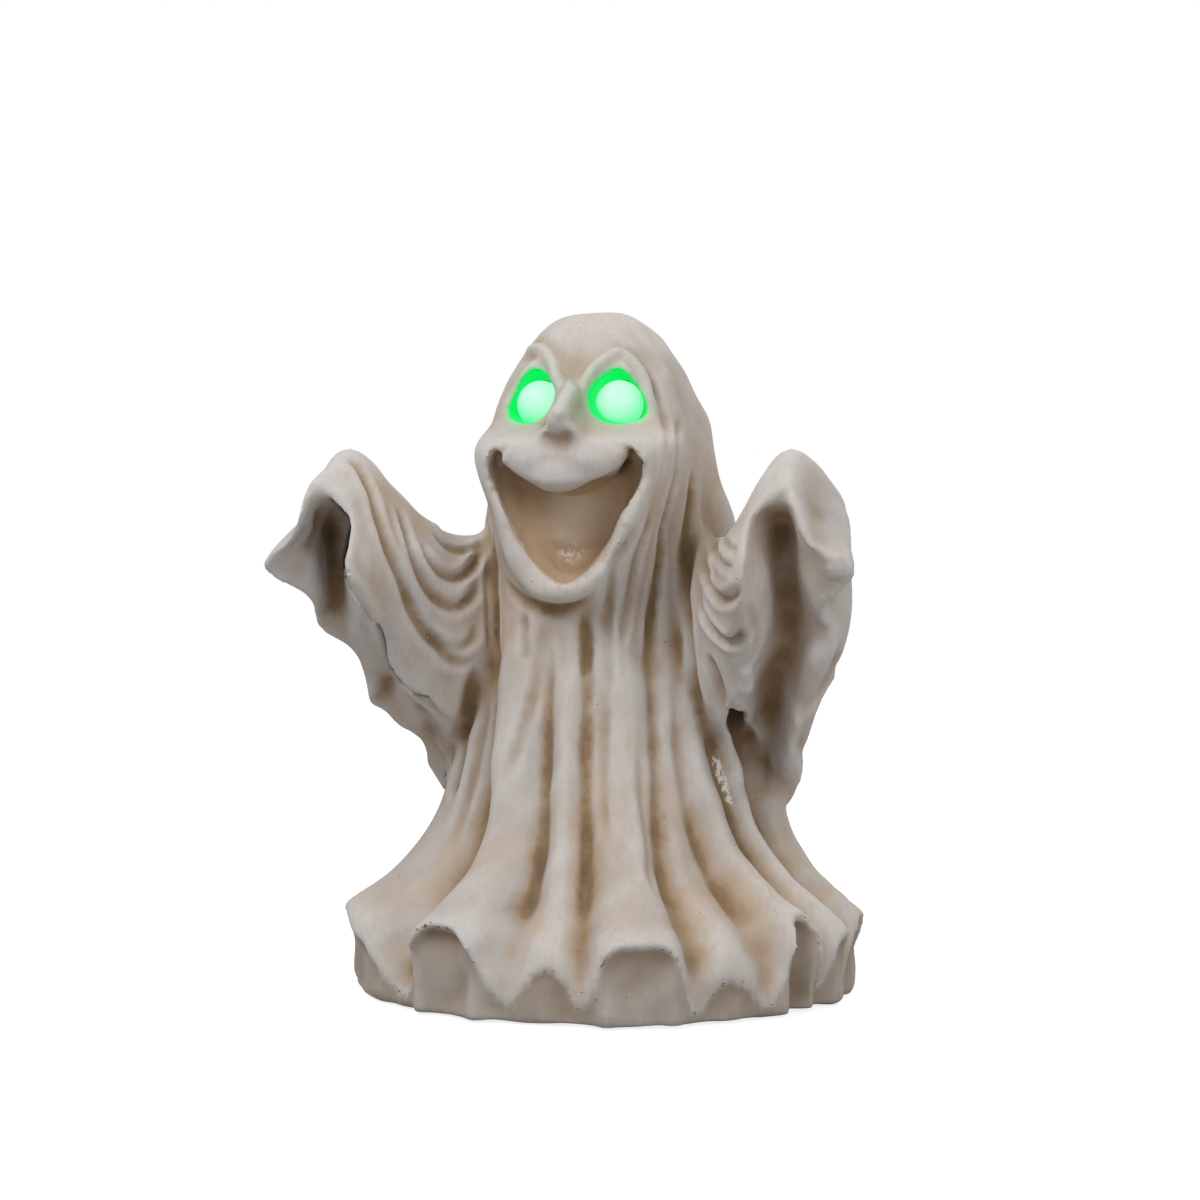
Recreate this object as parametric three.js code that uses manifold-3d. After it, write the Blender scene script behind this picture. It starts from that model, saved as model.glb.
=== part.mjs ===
import * as THREE from "three";
import { mergeVertices } from "three/addons/utils/BufferGeometryUtils.js";
import Module from "manifold-3d";

const wasm = await Module();
wasm.setup();

// Driving dimensions, in millimetres and degrees. The origin is on the ground under the middle of the
// figure. The ghost faces -Y, its left is +X and +Z is up.

// The robe
const crownHeight = 408; // ground to the top of the head
const headWidth = 126; // across the head behind the cheeks
const hemWidth = 306; // across the robe's hem, over the folds
const footHeight = 1; // the feet lift the casting off the ground by this much
const wall = 9; // thickness of the casting under its deepest folds
const hemInset = 5; // the hem's lip stands out this far over the wall below it
const hemRounding = 3; // the wall below the lip turns in by this much at the ground

// The eyes
const eyeDiameter = 28; // frosted balls
const eyeSpacing = 48; // between the two balls' centres
const eyeDrop = 55.6; // from the top of the head down to the balls' centres
const eyeForward = 52; // from the figure's axis to the balls' centres
const eyeWall = 1.2; // of a ball
const eyeFit = 0.5; // round a ball in its seat
const neckDiameter = 13; // behind a ball
const neckWall = 1.5;
const neckEnd = 18; // from the ball's centre to the end of its neck
const socketDepth = 6; // the floor of the hollow round an eye lies this far behind the ball's centre
const collarDepth = 4; // the ring that holds a ball in its seat
const ledDiameter = 5;
const ledTip = 5; // from the ball's centre back to the tip of its lamp
const ledLength = 8.2;
const legGap = 2.54; // between a lamp's two legs
const legWidth = 0.6;
const legEnd = 27; // from the ball's centre back to the ends of the legs

// The mouth
const mouthBack = 45; // from the figure's axis to the back of the mouth
const mouthTaper = { across: 0.72, high: 0.85 }; // the back of the mouth to its opening

// The base plate that closes the casting from below
const rimWidth = 41; // from the hem in to the plate
const plateThickness = 4;
const plateTop = 7.7; // ground to the plate's upper face
const plateGap = 1; // round the plate in its step
const ledgeWidth = 14; // that the plate is screwed to
const ledgeHeight = 17; // of the casting over the plate's edge
const footDiameter = 16;
const footMargin = 3; // from the plate's step out to a foot

// The battery box in the back
const padHeight = 135; // ground to the pad's middle
const padProud = 4; // the pad stands out from the plain back by this much
const padTilt = 19; // the pad leans with the robe
const padMargin = 3; // round the box's flange
const cellDiameter = 14.5;
const cellLength = 50.5; // with its raised contact
const cellGap = 0.5; // between two cells
const bayMiddle = 7.5; // the cells' middle, up the pad from the pad's middle
const springLength = 6;
const contactThickness = 0.5;
const boxWall = 1.8;
const flangeThickness = 2.5;
const gasketThickness = 1;
const hingeRadius = 2.2;
const pinRadius = 1;
const doorThickness = 2.2;
const switchTravel = 6; // from off, over on, to timer

// The leads from the box to the eyes
const leadDiameter = 2.2;

// Running and seating clearances
const seat = 0.3; // between two pieces that touch
const running = 0.5; // round what turns or slides

const { degToRad, clamp, lerp } = THREE.MathUtils;

// Catmull-Rom through rows of numbers, at a place from 0 on the first row to 1 on the last.
function along(rows, place) {
  const last = rows.length - 1;
  const spot = clamp(place, 0, 1) * last;
  const i = Math.min(Math.floor(spot), last - 1);
  const t = spot - i;
  const row = (k) => rows[clamp(k, 0, last)];
  return rows[i].map((_, k) => {
    const b = rows[i][k];
    const c = rows[i + 1][k];
    const a = i === 0 ? 2 * b - c : row(i - 1)[k];
    const d = i + 2 > last ? 2 * c - b : row(i + 2)[k];
    const square = 2 * a - 5 * b + 4 * c - d;
    const cube = 3 * b - a - 3 * c + d;
    return 0.5 * (2 * b + (c - a) * t + square * t * t + cube * t ** 3);
  });
}

// Smooth curve through values given at uneven heights, held level past both ends.
function atHeight(heights, values, z) {
  if (z <= heights[0]) return values[0];
  const last = heights.length - 1;
  if (z >= heights[last]) return values[last];
  let i = 0;
  while (z > heights[i + 1]) i += 1;
  const slope = (k) => {
    if (k === 0 || k === last) return 0;
    return (values[k + 1] - values[k - 1]) / (heights[k + 1] - heights[k - 1]);
  };
  const gap = heights[i + 1] - heights[i];
  const t = (z - heights[i]) / gap;
  const rise = values[i + 1] - values[i];
  const start = slope(i) * gap;
  const end = slope(i + 1) * gap;
  const square = 3 * rise - 2 * start - end;
  const cube = start + end - 2 * rise;
  return values[i] + start * t + square * t ** 2 + cube * t ** 3;
}

// Radius and height of the draped figure without its folds, crown to hem. The first row mirrors the third
// across the axis, so that the crown is round.
const head = headWidth / 2;
const hem = hemWidth / 2;
const sculpted = [
  [-head * 0.34, 404.2], [0, 408], [head * 0.34, 404.2], [head * 0.58, 394], [head * 0.76, 380],
  [head * 0.89, 364], [head * 0.965, 346], [head, 326], [head + 0.5, 304], [head + 2, 280], [head + 4, 255],
  [head + 6, 230], [head + 9, 205], [hem - 76, 180], [hem - 70, 155], [hem - 63, 130], [hem - 55, 106],
  [hem - 43, 84], [hem - 26, 64], [hem - 6, 47], [hem, 34], [hem + 1, 16], [hem, 0],
];

// Every sculpted height is given on a figure as tall as that table's crown.
const [, sculptedCrown] = sculpted[1];
const level = (height) => (height * crownHeight) / sculptedCrown;
const profile = sculpted.map(([radius, height]) => [radius, level(height)]);

// The figure is a little deeper than wide at the head and shallower at the hem.
const depthHeights = [0, 110, 250, 350].map(level);
const depthShares = [0.92, 0.95, 0.97, 1];

// Angles run from the front (-Y) towards the figure's left (+X).
function robeRadius(z) {
  let low = 1 / (profile.length - 1);
  let high = 1;
  for (let step = 0; step < 30; step += 1) {
    const middle = (low + high) / 2;
    if (along(profile, middle)[1] > z) low = middle;
    else high = middle;
  }
  return along(profile, low)[0];
}

// The folds, in order round the figure. Each has its angle and its reach beyond the plain robe at these
// heights, the height of the hem's lip on it, and, on a ridge, how blunt it is.
const foldHeights = [40, 90, 150, 200, 250, 310].map(level);
const valleyFlare = -3; // the valleys turn out again at the hem, to this far inside the plain robe
const folds = [
  { at: [-72, -69, -68, -70, -72, -76], out: [4, 5, 2, 1, 0, 0], lip: 49, blunt: 2.5 },
  { at: [-35, -35, -42, -50, -58, -63], out: [-13, -13, -9, -5, -3, 0], lip: 11 },
  { at: [-25, -24, -31, -36, -42, -46], out: [5, 5, 3, 2, 1, 0], lip: 56, blunt: 3 },
  { at: [-8, -7.5, -10.5, -12.5, -13, -18], out: [-13, -13, -9, -5, 0, 0], lip: 14 },
  { at: [2, 0.5, -1, -2.5, -3, -4], out: [-1, 1, 1, 0, 0, 0], lip: 36, blunt: 2 },
  { at: [9, 9, 7.7, 7.4, 7, 10], out: [-13, -12, -9, -5, 0, 0], lip: 13 },
  { at: [22, 24, 24, 23, 23, 26], out: [6, 6, 3, 2, 0, 0], lip: 50, blunt: 4 },
  { at: [34, 32.7, 37, 38, 41, 52], out: [-11, -10, -6, -6, -4, -2], lip: 10 },
  { at: [42, 39, 41.5, 46, 50, 59], out: [-3, -3, -1, 1, 1, 0], lip: 28, blunt: 2 },
  { at: [53, 50, 47, 51, 56, 64], out: [-12, -9, -2, 0.5, 0, 0], lip: 11 },
  { at: [63, 59.5, 54, 55, 60, 68], out: [6, 6, 4, 2, 1, 0], lip: 59, blunt: 2 },
  { at: [71, 71, 67, 66, 65, 73], out: [-11, -11, -8, -7, -5, -2], lip: 14 },
  { at: [78, 78, 78, 76, 76, 80], out: [3, 3, 2, 1, 1, 0], lip: 44, blunt: 2 },
  { at: [85, 85, 86, 86, 88, 90], out: [-9, -8, -6, -4, -2, 0], lip: 14 },
  { at: [94, 94, 95, 96, 98, 99], out: [5, 4, 3, 2, 1, 0], lip: 48, blunt: 2.5 },
  { at: [106, 106, 107, 108, 108, 108], out: [-10, -9, -7, -4, -2, 0], lip: 12 },
  { at: [119, 119, 119, 119, 118, 118], out: [5, 4, 3, 2, 1, 0], lip: 43, blunt: 2.5 },
  { at: [132, 132, 131, 131, 130, 130], out: [-10, -9, -7, -4, -2, 0], lip: 11 },
  { at: [146, 146, 145, 144, 144, 144], out: [5, 4, 3, 2, 1, 0], lip: 40, blunt: 2.5 },
  { at: [161, 161, 160, 158, 157, 157], out: [-9, -7, -5, -4, -2, 0], lip: 10 },
  { at: [178, 178, 177, 176, 176, 176], out: [4, 3, 2, 2, 1, 0], lip: 36, blunt: 2.5 },
  { at: [195, 195, 196, 196, 196, 196], out: [-9, -7, -5, -4, -2, 0], lip: 10 },
  { at: [210, 210, 210, 211, 211, 211], out: [5, 4, 3, 2, 1, 0], lip: 42, blunt: 2.5 },
  { at: [225, 225, 226, 226, 227, 227], out: [-10, -9, -7, -4, -2, 0], lip: 11 },
  { at: [240, 240, 240, 241, 241, 241], out: [5, 4, 3, 2, 1, 0], lip: 46, blunt: 2.5 },
  { at: [253, 253, 253, 252, 252, 252], out: [-10, -9, -6, -4, -2, 0], lip: 12 },
  { at: [265, 265, 265, 264, 264, 264], out: [4, 4, 3, 2, 1, 0], lip: 44, blunt: 2 },
  { at: [277, 277, 277, 275, 274, 273], out: [-7, -6, -4, -3, -1, 0], lip: 14 },
];

// How far from a ridge (0) to the next valley (1) the cloth has sunk, from 0 to 1.
function sunk(t, blunt) {
  return 0.5 * t ** blunt + 0.25 * (1 - Math.cos(Math.PI * t));
}

// Angle, reach and lip height at a share of the way from one fold to the next.
function foldPoint(index, share, z) {
  const here = folds[index];
  const next = folds[(index + 1) % folds.length];
  const turn = index + 1 === folds.length ? 360 : 0;
  const ridge = here.blunt ? here : next;
  const sink = here.blunt ? sunk(share, ridge.blunt) : 1 - sunk(1 - share, ridge.blunt);
  const start = atHeight(foldHeights, here.at, z);
  const end = atHeight(foldHeights, next.at, z) + turn;
  const valley = here.blunt ? next : here;
  const high = atHeight(foldHeights, ridge.out, z);
  const flare = clamp((foldHeights[0] - z) / (foldHeights[0] - valley.lip), 0, 1);
  const low = lerp(atHeight(foldHeights, valley.out, z), valleyFlare, flare);
  const fromRidge = here.blunt ? share : 1 - share;
  return {
    angle: lerp(start, end, share),
    reach: lerp(high, low, sink),
    lip: lerp(ridge.lip, valley.lip, fromRidge ** ridge.blunt),
  };
}

// The head sits forward of the robe's axis by this much, at these heights.
const leanHeights = [220, 330].map(level);
const lean = [0, 10];

// The shoulders under the cloth: a rise on each side, by height.
const shoulder = {
  angle: 112,
  spread: 22,
  heights: [160, 200, 240, 270, 287, 308, 326, 345, 368].map(level),
  out: [0, 7, 15, 18, 17, 11, 8, 5, 0],
};

// The muzzle's forms beyond the plain head, by height and by angle from the front.
const muzzleAngles = [0, 10, 20, 30, 40, 50, 60, 75, 90];
const muzzleHeights = [
  228, 234, 240, 246, 253, 261, 271, 285, 300, 310, 320, 328, 333, 338, 343, 352, 360, 370, 382,
].map(level);
const muzzle = [
  [0, 0, 0, 0, 0, 0, 0, 0, 0],
  [2, 1, 0, 0, 0, 0, 0, 0, 0],
  [12, 10, 4, 1, 0, 0, 0, 0, 0],
  [16, 15, 9, 3, 1, 0, 0, 0, 0],
  [17, 17, 14, 7, 3, 0, 0, 0, 0],
  [18, 18, 18, 12, 5, 1, 0, 0, 0],
  [18, 19, 20, 17, 9, 3, 0, 0, 0],
  [19, 20, 23, 22, 14, 6, 1, 0, 0],
  [20, 22, 25, 26, 19, 11, 4, 0, 0],
  [21, 23, 27, 28, 23, 13, 5, 1, 0],
  [25, 27, 30, 30, 25, 16, 7, 1, 0],
  [26, 28, 30, 28, 24, 17, 9, 2, 0],
  [24, 25, 25, 22, 19, 15, 9, 2, 0],
  [19, 17, 14, 11, 11, 10, 6, 1, 0],
  [15, 11, 4, 2, 4, 6, 4, 1, 0],
  [9, 6, 1, 0, 2, 3, 2, 0, 0],
  [6, 5, 3, 1, 1, 1, 0, 0, 0],
  [2, 3, 4, 4, 2, 0, 0, 0, 0],
  [0, 0, 1, 2, 1, 0, 0, 0, 0],
];

// A point of [across, up] from an eye's middle, in the ball's radii, as one of the face.
const ballRadius = eyeDiameter / 2;
const eyeHeight = crownHeight - eyeDrop;
const byEye = ([across, up]) => [eyeSpacing / 2 + across * ballRadius, eyeHeight + up * ballRadius];

// The brow's ridge over each eye: how far it stands out and how wide it is.
const browLine = [
  [-1.43, 0.54], [-1, 1.19], [-0.5, 1.83], [0.07, 2.11], [0.57, 1.83], [1.07, 0.97], [1.57, -0.03],
];
const brow = { line: browLine.map(byEye), out: 4, wide: 4.5 };

function distanceTo(line, across, z) {
  let best = Infinity;
  for (let i = 0; i + 1 < line.length; i += 1) {
    const [x0, z0] = line[i];
    const [x1, z1] = line[i + 1];
    const length = (x1 - x0) ** 2 + (z1 - z0) ** 2;
    const t = clamp(((across - x0) * (x1 - x0) + (z - z0) * (z1 - z0)) / length, 0, 1);
    best = Math.min(best, Math.hypot(across - lerp(x0, x1, t), z - lerp(z0, z1, t)));
  }
  return best;
}

// Reach of the face's and shoulders' forms beyond the plain figure.
function bodyReach(angle, z) {
  const side = Math.abs(angle > 180 ? angle - 360 : angle);
  const byAngle = muzzleAngles.map((_, k) => atHeight(muzzleHeights, muzzle.map((row) => row[k]), z));
  const face = atHeight(muzzleAngles, byAngle, side);
  const across = (head + face) * Math.sin(degToRad(side));
  const ridge = side < 90 ? brow.out * Math.exp(-((distanceTo(brow.line, across, z) / brow.wide) ** 2)) : 0;
  const rise = atHeight(shoulder.heights, shoulder.out, z);
  return face + ridge + rise * Math.exp(-(((side - shoulder.angle) / shoulder.spread) ** 2));
}

// A point of the robe's outside, at a share between two folds and at a height.
function robePoint(index, share, z) {
  const { angle, reach } = foldPoint(index, share, z);
  const radius = robeRadius(z) + reach + bodyReach(angle, z);
  const depth = atHeight(depthHeights, depthShares, z);
  const turn = degToRad(angle);
  const forward = radius * Math.cos(turn) * depth + atHeight(leanHeights, lean, z);
  return new THREE.Vector3(radius * Math.sin(turn), -forward, z);
}

// Closed triangle mesh from points and faces.
function polyhedron(points, faces) {
  const geometry = new THREE.BufferGeometry();
  const flat = points.flatMap((point) => [point.x, point.y, point.z]);
  geometry.setAttribute("position", new THREE.Float32BufferAttribute(flat, 3));
  geometry.setIndex(faces.flat());
  return geometry;
}

// A geometry with each corner kept once, so that its faces share their corners.
function welded(geometry) {
  const bare = geometry.clone();
  bare.deleteAttribute("normal");
  bare.deleteAttribute("uv");
  return mergeVertices(bare, 1e-4);
}

// A welded geometry as a solid that can be joined and cut.
function solid(geometry) {
  return new wasm.Manifold(new wasm.Mesh({
    numProp: 3,
    vertProperties: new Float32Array(geometry.attributes.position.array),
    triVerts: new Uint32Array(geometry.index.array),
  }));
}

// A joined and cut solid as a geometry.
function surface(shape) {
  const { vertProperties, triVerts } = shape.getMesh();
  const geometry = new THREE.BufferGeometry();
  geometry.setAttribute("position", new THREE.BufferAttribute(vertProperties, 3));
  geometry.setIndex(new THREE.BufferAttribute(triVerts, 1));
  return geometry;
}

// Rings of points joined into one closed solid, with a point or a flat fan at each end.
function tube(rings, first, last) {
  const points = [first, ...rings.flat(), last];
  const count = rings[0].length;
  const at = (ring, k) => 1 + ring * count + (k % count);
  const faces = [];
  for (let k = 0; k < count; k += 1) {
    faces.push([0, at(0, k), at(0, k + 1)]);
    for (let ring = 0; ring + 1 < rings.length; ring += 1) {
      faces.push([at(ring, k), at(ring + 1, k), at(ring + 1, k + 1)]);
      faces.push([at(ring, k), at(ring + 1, k + 1), at(ring, k + 1)]);
    }
    faces.push([at(rings.length - 1, k), points.length - 1, at(rings.length - 1, k + 1)]);
  }
  return polyhedron(points, faces);
}

// The robe and head as one solid, open nowhere.
function robe() {
  const columns = [];
  const widestStep = { front: 6.5, back: 14 };
  folds.forEach((fold, index) => {
    const next = folds[(index + 1) % folds.length];
    const turn = index + 1 === folds.length ? 360 : 0;
    const gap = Math.max(...fold.at.map((angle, k) => next.at[k] + turn - angle));
    const step = fold.at[0] < 85 ? widestStep.front : widestStep.back;
    const count = Math.max(2, Math.round(gap / step));
    for (let k = 0; k < count; k += 1) columns.push([index, k / count]);
  });

  const heights = [407, 402, 394, 385];
  for (let z = 377; z > 236; z -= 6.5) heights.push(z);
  for (let z = 222; z > 75; z -= 18) heights.push(z);
  const levels = heights.map(level);
  const lowest = levels[levels.length - 1];
  const hemRows = 3;
  const rings = levels.map((z) => columns.map(([index, share]) => robePoint(index, share, z)));
  const lips = columns.map(([index, share]) => foldPoint(index, share, foldHeights[0]).lip);
  for (let row = 1; row <= hemRows; row += 1) {
    const height = (k) => lerp(lowest, lips[k], row / hemRows);
    rings.push(columns.map(([index, share], k) => robePoint(index, share, height(k))));
  }

  const lipRing = rings[rings.length - 1];
  const highestLip = Math.max(...lips);
  const skirting = (level, extra) => lipRing.map((point, k) => {
    const share = clamp(lips[k] / highestLip, 0.2, 1);
    const radius = Math.hypot(point.x, point.y);
    const inward = (radius - hemInset * share - extra) / radius;
    return new THREE.Vector3(point.x * inward, point.y * inward, level(lips[k]));
  });
  rings.push(skirting((lip) => lip - 1.5, 0));
  rings.push(skirting((lip) => lerp(footHeight, lip, 0.3), 0));
  rings.push(skirting(() => footHeight, hemRounding));
  return tube(rings, new THREE.Vector3(0, -lean[1], crownHeight), new THREE.Vector3(0, 0, footHeight));
}

// The sleeves, as lines across each sleeve from its front lower edge, over the top, to its back lower edge.
// A point is [outward along the arm, towards the back, height]. The first line lies inside the body.
const armAngle = 57; // of each arm, from the front
const sleeveRoot = [
  [70, 28, 112], [62, 12, 150], [58, 4, 180], [56, 2, 210], [56, 2, 235], [58, 4, 256], [60, 14, 274],
  [58, 26, 266], [54, 36, 242], [52, 42, 210], [52, 48, 178], [54, 56, 145], [56, 64, 110],
];
const sleeveShoulder = [
  [80, 34, 112], [76, 16, 150], [80, 2, 178], [84, -6, 208], [90, -8, 236], [98, -4, 262], [106, 12, 283],
  [104, 34, 276], [96, 50, 250], [92, 58, 215], [86, 62, 180], [76, 68, 145], [66, 74, 108],
];
const sleeveHand = [
  [84, 36, 112], [86, 22, 150], [104, 2, 172], [118, -14, 200], [132, -30, 232], [147, -38, 274],
  [152, -2, 324], [151, 36, 312], [147, 56, 280], [140, 68, 235], [124, 66, 195], [100, 76, 155],
  [72, 84, 112],
];
const sleeveHem = [
  [83, 33, 118], [86, 28, 138], [90, 22, 154], [99, 8, 168], [114, 0, 177], [128, -7, 187], [137, -10, 202],
  [143, -20, 218], [158, -38, 234], [167, -50, 248], [170, -51, 266], [166, -42, 288], [184, -30, 307],
  [192, -28, 296], [200, -25, 274], [210, 0, 257], [184, 0, 236], [170, 26, 219], [146, 55, 204],
  [131, 57, 188], [138, 42, 174], [125, 49, 163], [113, 54, 154], [84, 74, 142], [76, 82, 120],
];
const sleeveLines = [sleeveRoot, sleeveShoulder, sleeveHand, sleeveHem];
const sleeveThickness = { root: 8, hem: 5 };

// A point of a sleeve's outside: across from 0 at the front edge to 1 at the back edge, out from 0 at the
// root to 1 at the hem. Side is 1 for the figure's left arm and -1 for its right one.
function sleevePoint(across, out, side) {
  const [far, back, height] = along(sleeveLines.map((line) => along(line, across)), out);
  const turn = degToRad(armAngle);
  const x = far * Math.sin(turn) + back * Math.cos(turn);
  const y = -far * Math.cos(turn) + back * Math.sin(turn);
  return new THREE.Vector3(side * x, y, level(height));
}

function sleeve(side) {
  const across = 36;
  const out = 6;
  const nearby = { across: 0.03, out: 0.08 };
  const outside = [];
  const inside = [];
  for (let i = 0; i <= out; i += 1) {
    const v = i / out;
    const ring = [];
    const lining = [];
    for (let k = 0; k <= across; k += 1) {
      const u = k / across;
      const point = sleevePoint(u, v, side);
      const at = (du, dv) => sleevePoint(clamp(u + du, 0, 1), clamp(v + dv, 0, 1), side);
      const alongU = at(nearby.across, 0).sub(at(-nearby.across, 0));
      const alongV = at(0, nearby.out).sub(at(0, -nearby.out));
      const inward = alongU.cross(alongV).normalize().multiplyScalar(side);
      ring.push(point);
      lining.push(point.clone().addScaledVector(inward, lerp(sleeveThickness.root, sleeveThickness.hem, v)));
    }
    outside.push(ring);
    inside.push(lining.reverse());
  }
  const rings = outside.map((ring, i) => [...ring, ...inside[i]]);
  return strip(rings, side);
}

// A loop of points carried through rings, closed at both ends between its two halves.
function strip(rings, side) {
  const count = rings[0].length;
  const half = count / 2;
  const at = (ring, k) => ring * count + (k % count);
  const faces = [];
  for (let ring = 0; ring + 1 < rings.length; ring += 1) {
    for (let k = 0; k < count; k += 1) {
      faces.push([at(ring, k), at(ring + 1, k), at(ring + 1, k + 1)]);
      faces.push([at(ring, k), at(ring + 1, k + 1), at(ring, k + 1)]);
    }
  }
  const end = rings.length - 1;
  for (let k = 0; k + 1 < half; k += 1) {
    const other = count - 1 - k;
    faces.push([at(0, k), at(0, k + 1), at(0, other - 1)]);
    faces.push([at(0, k), at(0, other - 1), at(0, other)]);
    faces.push([at(end, k), at(end, other - 1), at(end, k + 1)]);
    faces.push([at(end, k), at(end, other), at(end, other - 1)]);
  }
  const outward = side > 0 ? faces : faces.map(([a, b, c]) => [a, c, b]);
  return polyhedron(rings.flat(), outward);
}

// A closed solid between outlines of the same count, one behind the other. The ends are filled.
function between(given) {
  const flatten = (outline) => outline.map((point) => new THREE.Vector2(point.x, point.z));
  const clockwise = THREE.ShapeUtils.isClockWise(flatten(given[0]));
  const outlines = clockwise ? given.map((outline) => [...outline].reverse()) : given;
  const cap = THREE.ShapeUtils.triangulateShape(flatten(outlines[0]), []);
  const count = outlines[0].length;
  const last = (outlines.length - 1) * count;
  const faces = [];
  for (const [a, b, c] of cap) {
    faces.push([a, b, c]);
    faces.push([last + a, last + c, last + b]);
  }
  for (let ring = 0; ring + 1 < outlines.length; ring += 1) {
    for (let k = 0; k < count; k += 1) {
      const next = (k + 1) % count;
      const here = ring * count;
      faces.push([here + k, here + count + k, here + count + next]);
      faces.push([here + k, here + count + next, here + next]);
    }
  }
  return polyhedron(outlines.flat(), faces);
}

// A box from its least to its greatest corner.
function block([x0, x1], [y0, y1], [z0, z1]) {
  const box = welded(new THREE.BoxGeometry(x1 - x0, y1 - y0, z1 - z0));
  return box.translate((x0 + x1) / 2, (y0 + y1) / 2, (z0 + z1) / 2);
}

// A round bar along Z, at a place across it.
function bar(radius, [z0, z1], x = 0, y = 0, sides = 16) {
  const round = welded(new THREE.CylinderGeometry(radius, radius, z1 - z0, sides));
  return round.rotateX(Math.PI / 2).translate(x, y, (z0 + z1) / 2);
}

// A round body along Z from its outline of [radius, height], closed on itself or on the axis.
function turned(outline, sides) {
  const points = outline.map(([radius, z]) => new THREE.Vector2(radius, z));
  return welded(new THREE.LatheGeometry(points, sides)).rotateX(Math.PI / 2);
}

// A flat-ended ring along Z.
function washer(inner, outer, start, end) {
  return turned([[inner, start], [outer, start], [outer, end], [inner, end], [inner, start]], 16);
}

function joined(...geometries) {
  return geometries.map(solid).reduce((whole, shape) => whole.add(shape));
}

function cut(shape, ...geometries) {
  return geometries.map(solid).reduce((rest, tool) => rest.subtract(tool), shape);
}

// Half of each outline on the face, as [across, height]; the mouth's runs from its lowest point up its left
// side and back along the upper lip.
const mouthEdge = [
  [0, 246.9], [12, 250.4], [20.9, 259.6], [28, 271], [35, 286], [42, 301.5], [46, 311.5], [45.5, 320],
  [42, 326.5], [37.5, 326], [35.5, 318], [28.3, 311.5], [10.4, 307.3], [0, 306.5],
];
const mouthMiddle = 283;
const socketEdge = [
  [0.02, 1.61], [0.5, 1.36], [0.96, 0.69], [1.29, -0.03], [1.35, -0.53], [0.81, -0.77], [0.26, -0.86],
  [-0.29, -0.77], [-0.82, -0.39], [-1.02, 0.26], [-0.93, 0.72], [-0.61, 1.22],
];
const socketTaper = 0.9;
const outsideFace = 130; // clear in front of the face

function mouthHollow() {
  const other = mouthEdge.slice(1, -1).reverse().map(([x, z]) => [-x, z]);
  const loop = [...mouthEdge, ...other];
  const back = ([x, z]) => {
    const high = mouthMiddle + (z - mouthMiddle) * mouthTaper.high;
    return new THREE.Vector3(x * mouthTaper.across, -mouthBack, level(high));
  };
  const lipForward = 82;
  return between([
    loop.map(([x, z]) => new THREE.Vector3(x, -outsideFace, level(z))),
    loop.map(([x, z]) => new THREE.Vector3(x, -lipForward, level(z))),
    loop.map(back),
  ]);
}

function socketHollow(side) {
  const outline = (taper, forward) => socketEdge.map(([across, up]) => {
    const [x, z] = byEye([across * taper, up * taper]);
    return new THREE.Vector3(side * x, -forward, z);
  });
  return between([outline(1, outsideFace), outline(socketTaper, eyeForward - socketDepth)]);
}

// The nose: a wedge with a flat three-cornered tip.
function nose() {
  const points = [
    [0, -102, 351], [9, -101, 337], [-9, -101, 337], [13, -66, 336], [-13, -66, 336], [0, -64, 361],
    [7, -66, 352], [-7, -66, 352],
  ].map(([x, y, z]) => new THREE.Vector3(x, y, level(z)));
  const faces = [
    [0, 2, 1], [1, 2, 4], [1, 4, 3], [0, 1, 6], [1, 3, 6], [0, 7, 2], [2, 7, 4], [0, 6, 5], [0, 5, 7],
    [5, 6, 3], [5, 3, 4], [5, 4, 7],
  ];
  return polyhedron(points, faces);
}

// The hollow inside the casting follows the robe under its deepest folds, and passes behind the mouth.
const hollowHeights = [36, 50, 64, 84, 105, 140, 180, 215, 240, 290, 330, 352, 375, 391].map(level);
const deepest = [-13, -13, -9, -7, -3, 0]; // folds, at foldHeights
const mouthFloor = level(235); // from here up the hollow keeps behind the mouth
const mouthWall = wall + 2;

// Half width, and the front and back, of the hollow at a height.
function hollowAt(z) {
  const across = robeRadius(z + wall) + atHeight(foldHeights, deepest, z) - wall;
  const deep = across * atHeight(depthHeights, depthShares, z);
  const forward = atHeight(leanHeights, lean, z);
  const limit = z > mouthFloor ? mouthBack - mouthWall : Infinity;
  return { across, front: Math.min(deep + forward, limit), back: deep - forward };
}

// The plate lies in a step of the rim under a ledge.
const plateRadius = hem - rimWidth;
const ledgeRadius = plateRadius - ledgeWidth;
const plateScrewCircle = plateRadius - ledgeWidth / 2;
const ledgeDepth = 0.95; // the ledge's opening, its depth to its width

// The hollow's solid, drawn in from the casting's inner wall by a gap.
function innerSpace(gap) {
  const sides = 28;
  const ring = (z, { across, front, back }) => Array.from({ length: sides }, (_, k) => {
    const turn = (k / sides) * 2 * Math.PI;
    const y = (back - front) / 2 - ((back + front) / 2 - gap) * Math.cos(turn);
    return new THREE.Vector3((across - gap) * Math.sin(turn), y, z);
  });
  const step = plateTop + seat;
  const room = plateRadius + plateGap;
  const plateRoom = { across: room, front: room, back: room };
  const ledge = { across: ledgeRadius, front: ledgeRadius * ledgeDepth, back: ledgeRadius * ledgeDepth };
  const rings = [ring(-1, plateRoom), ring(step - gap, plateRoom)];
  rings.push(ring(step, ledge), ring(step + ledgeHeight, ledge));
  for (const z of hollowHeights) rings.push(ring(z, hollowAt(z)));
  const top = new THREE.Vector3(0, -4, level(396) - gap);
  return tube(rings.reverse(), top, new THREE.Vector3(0, 0, -1));
}

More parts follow.
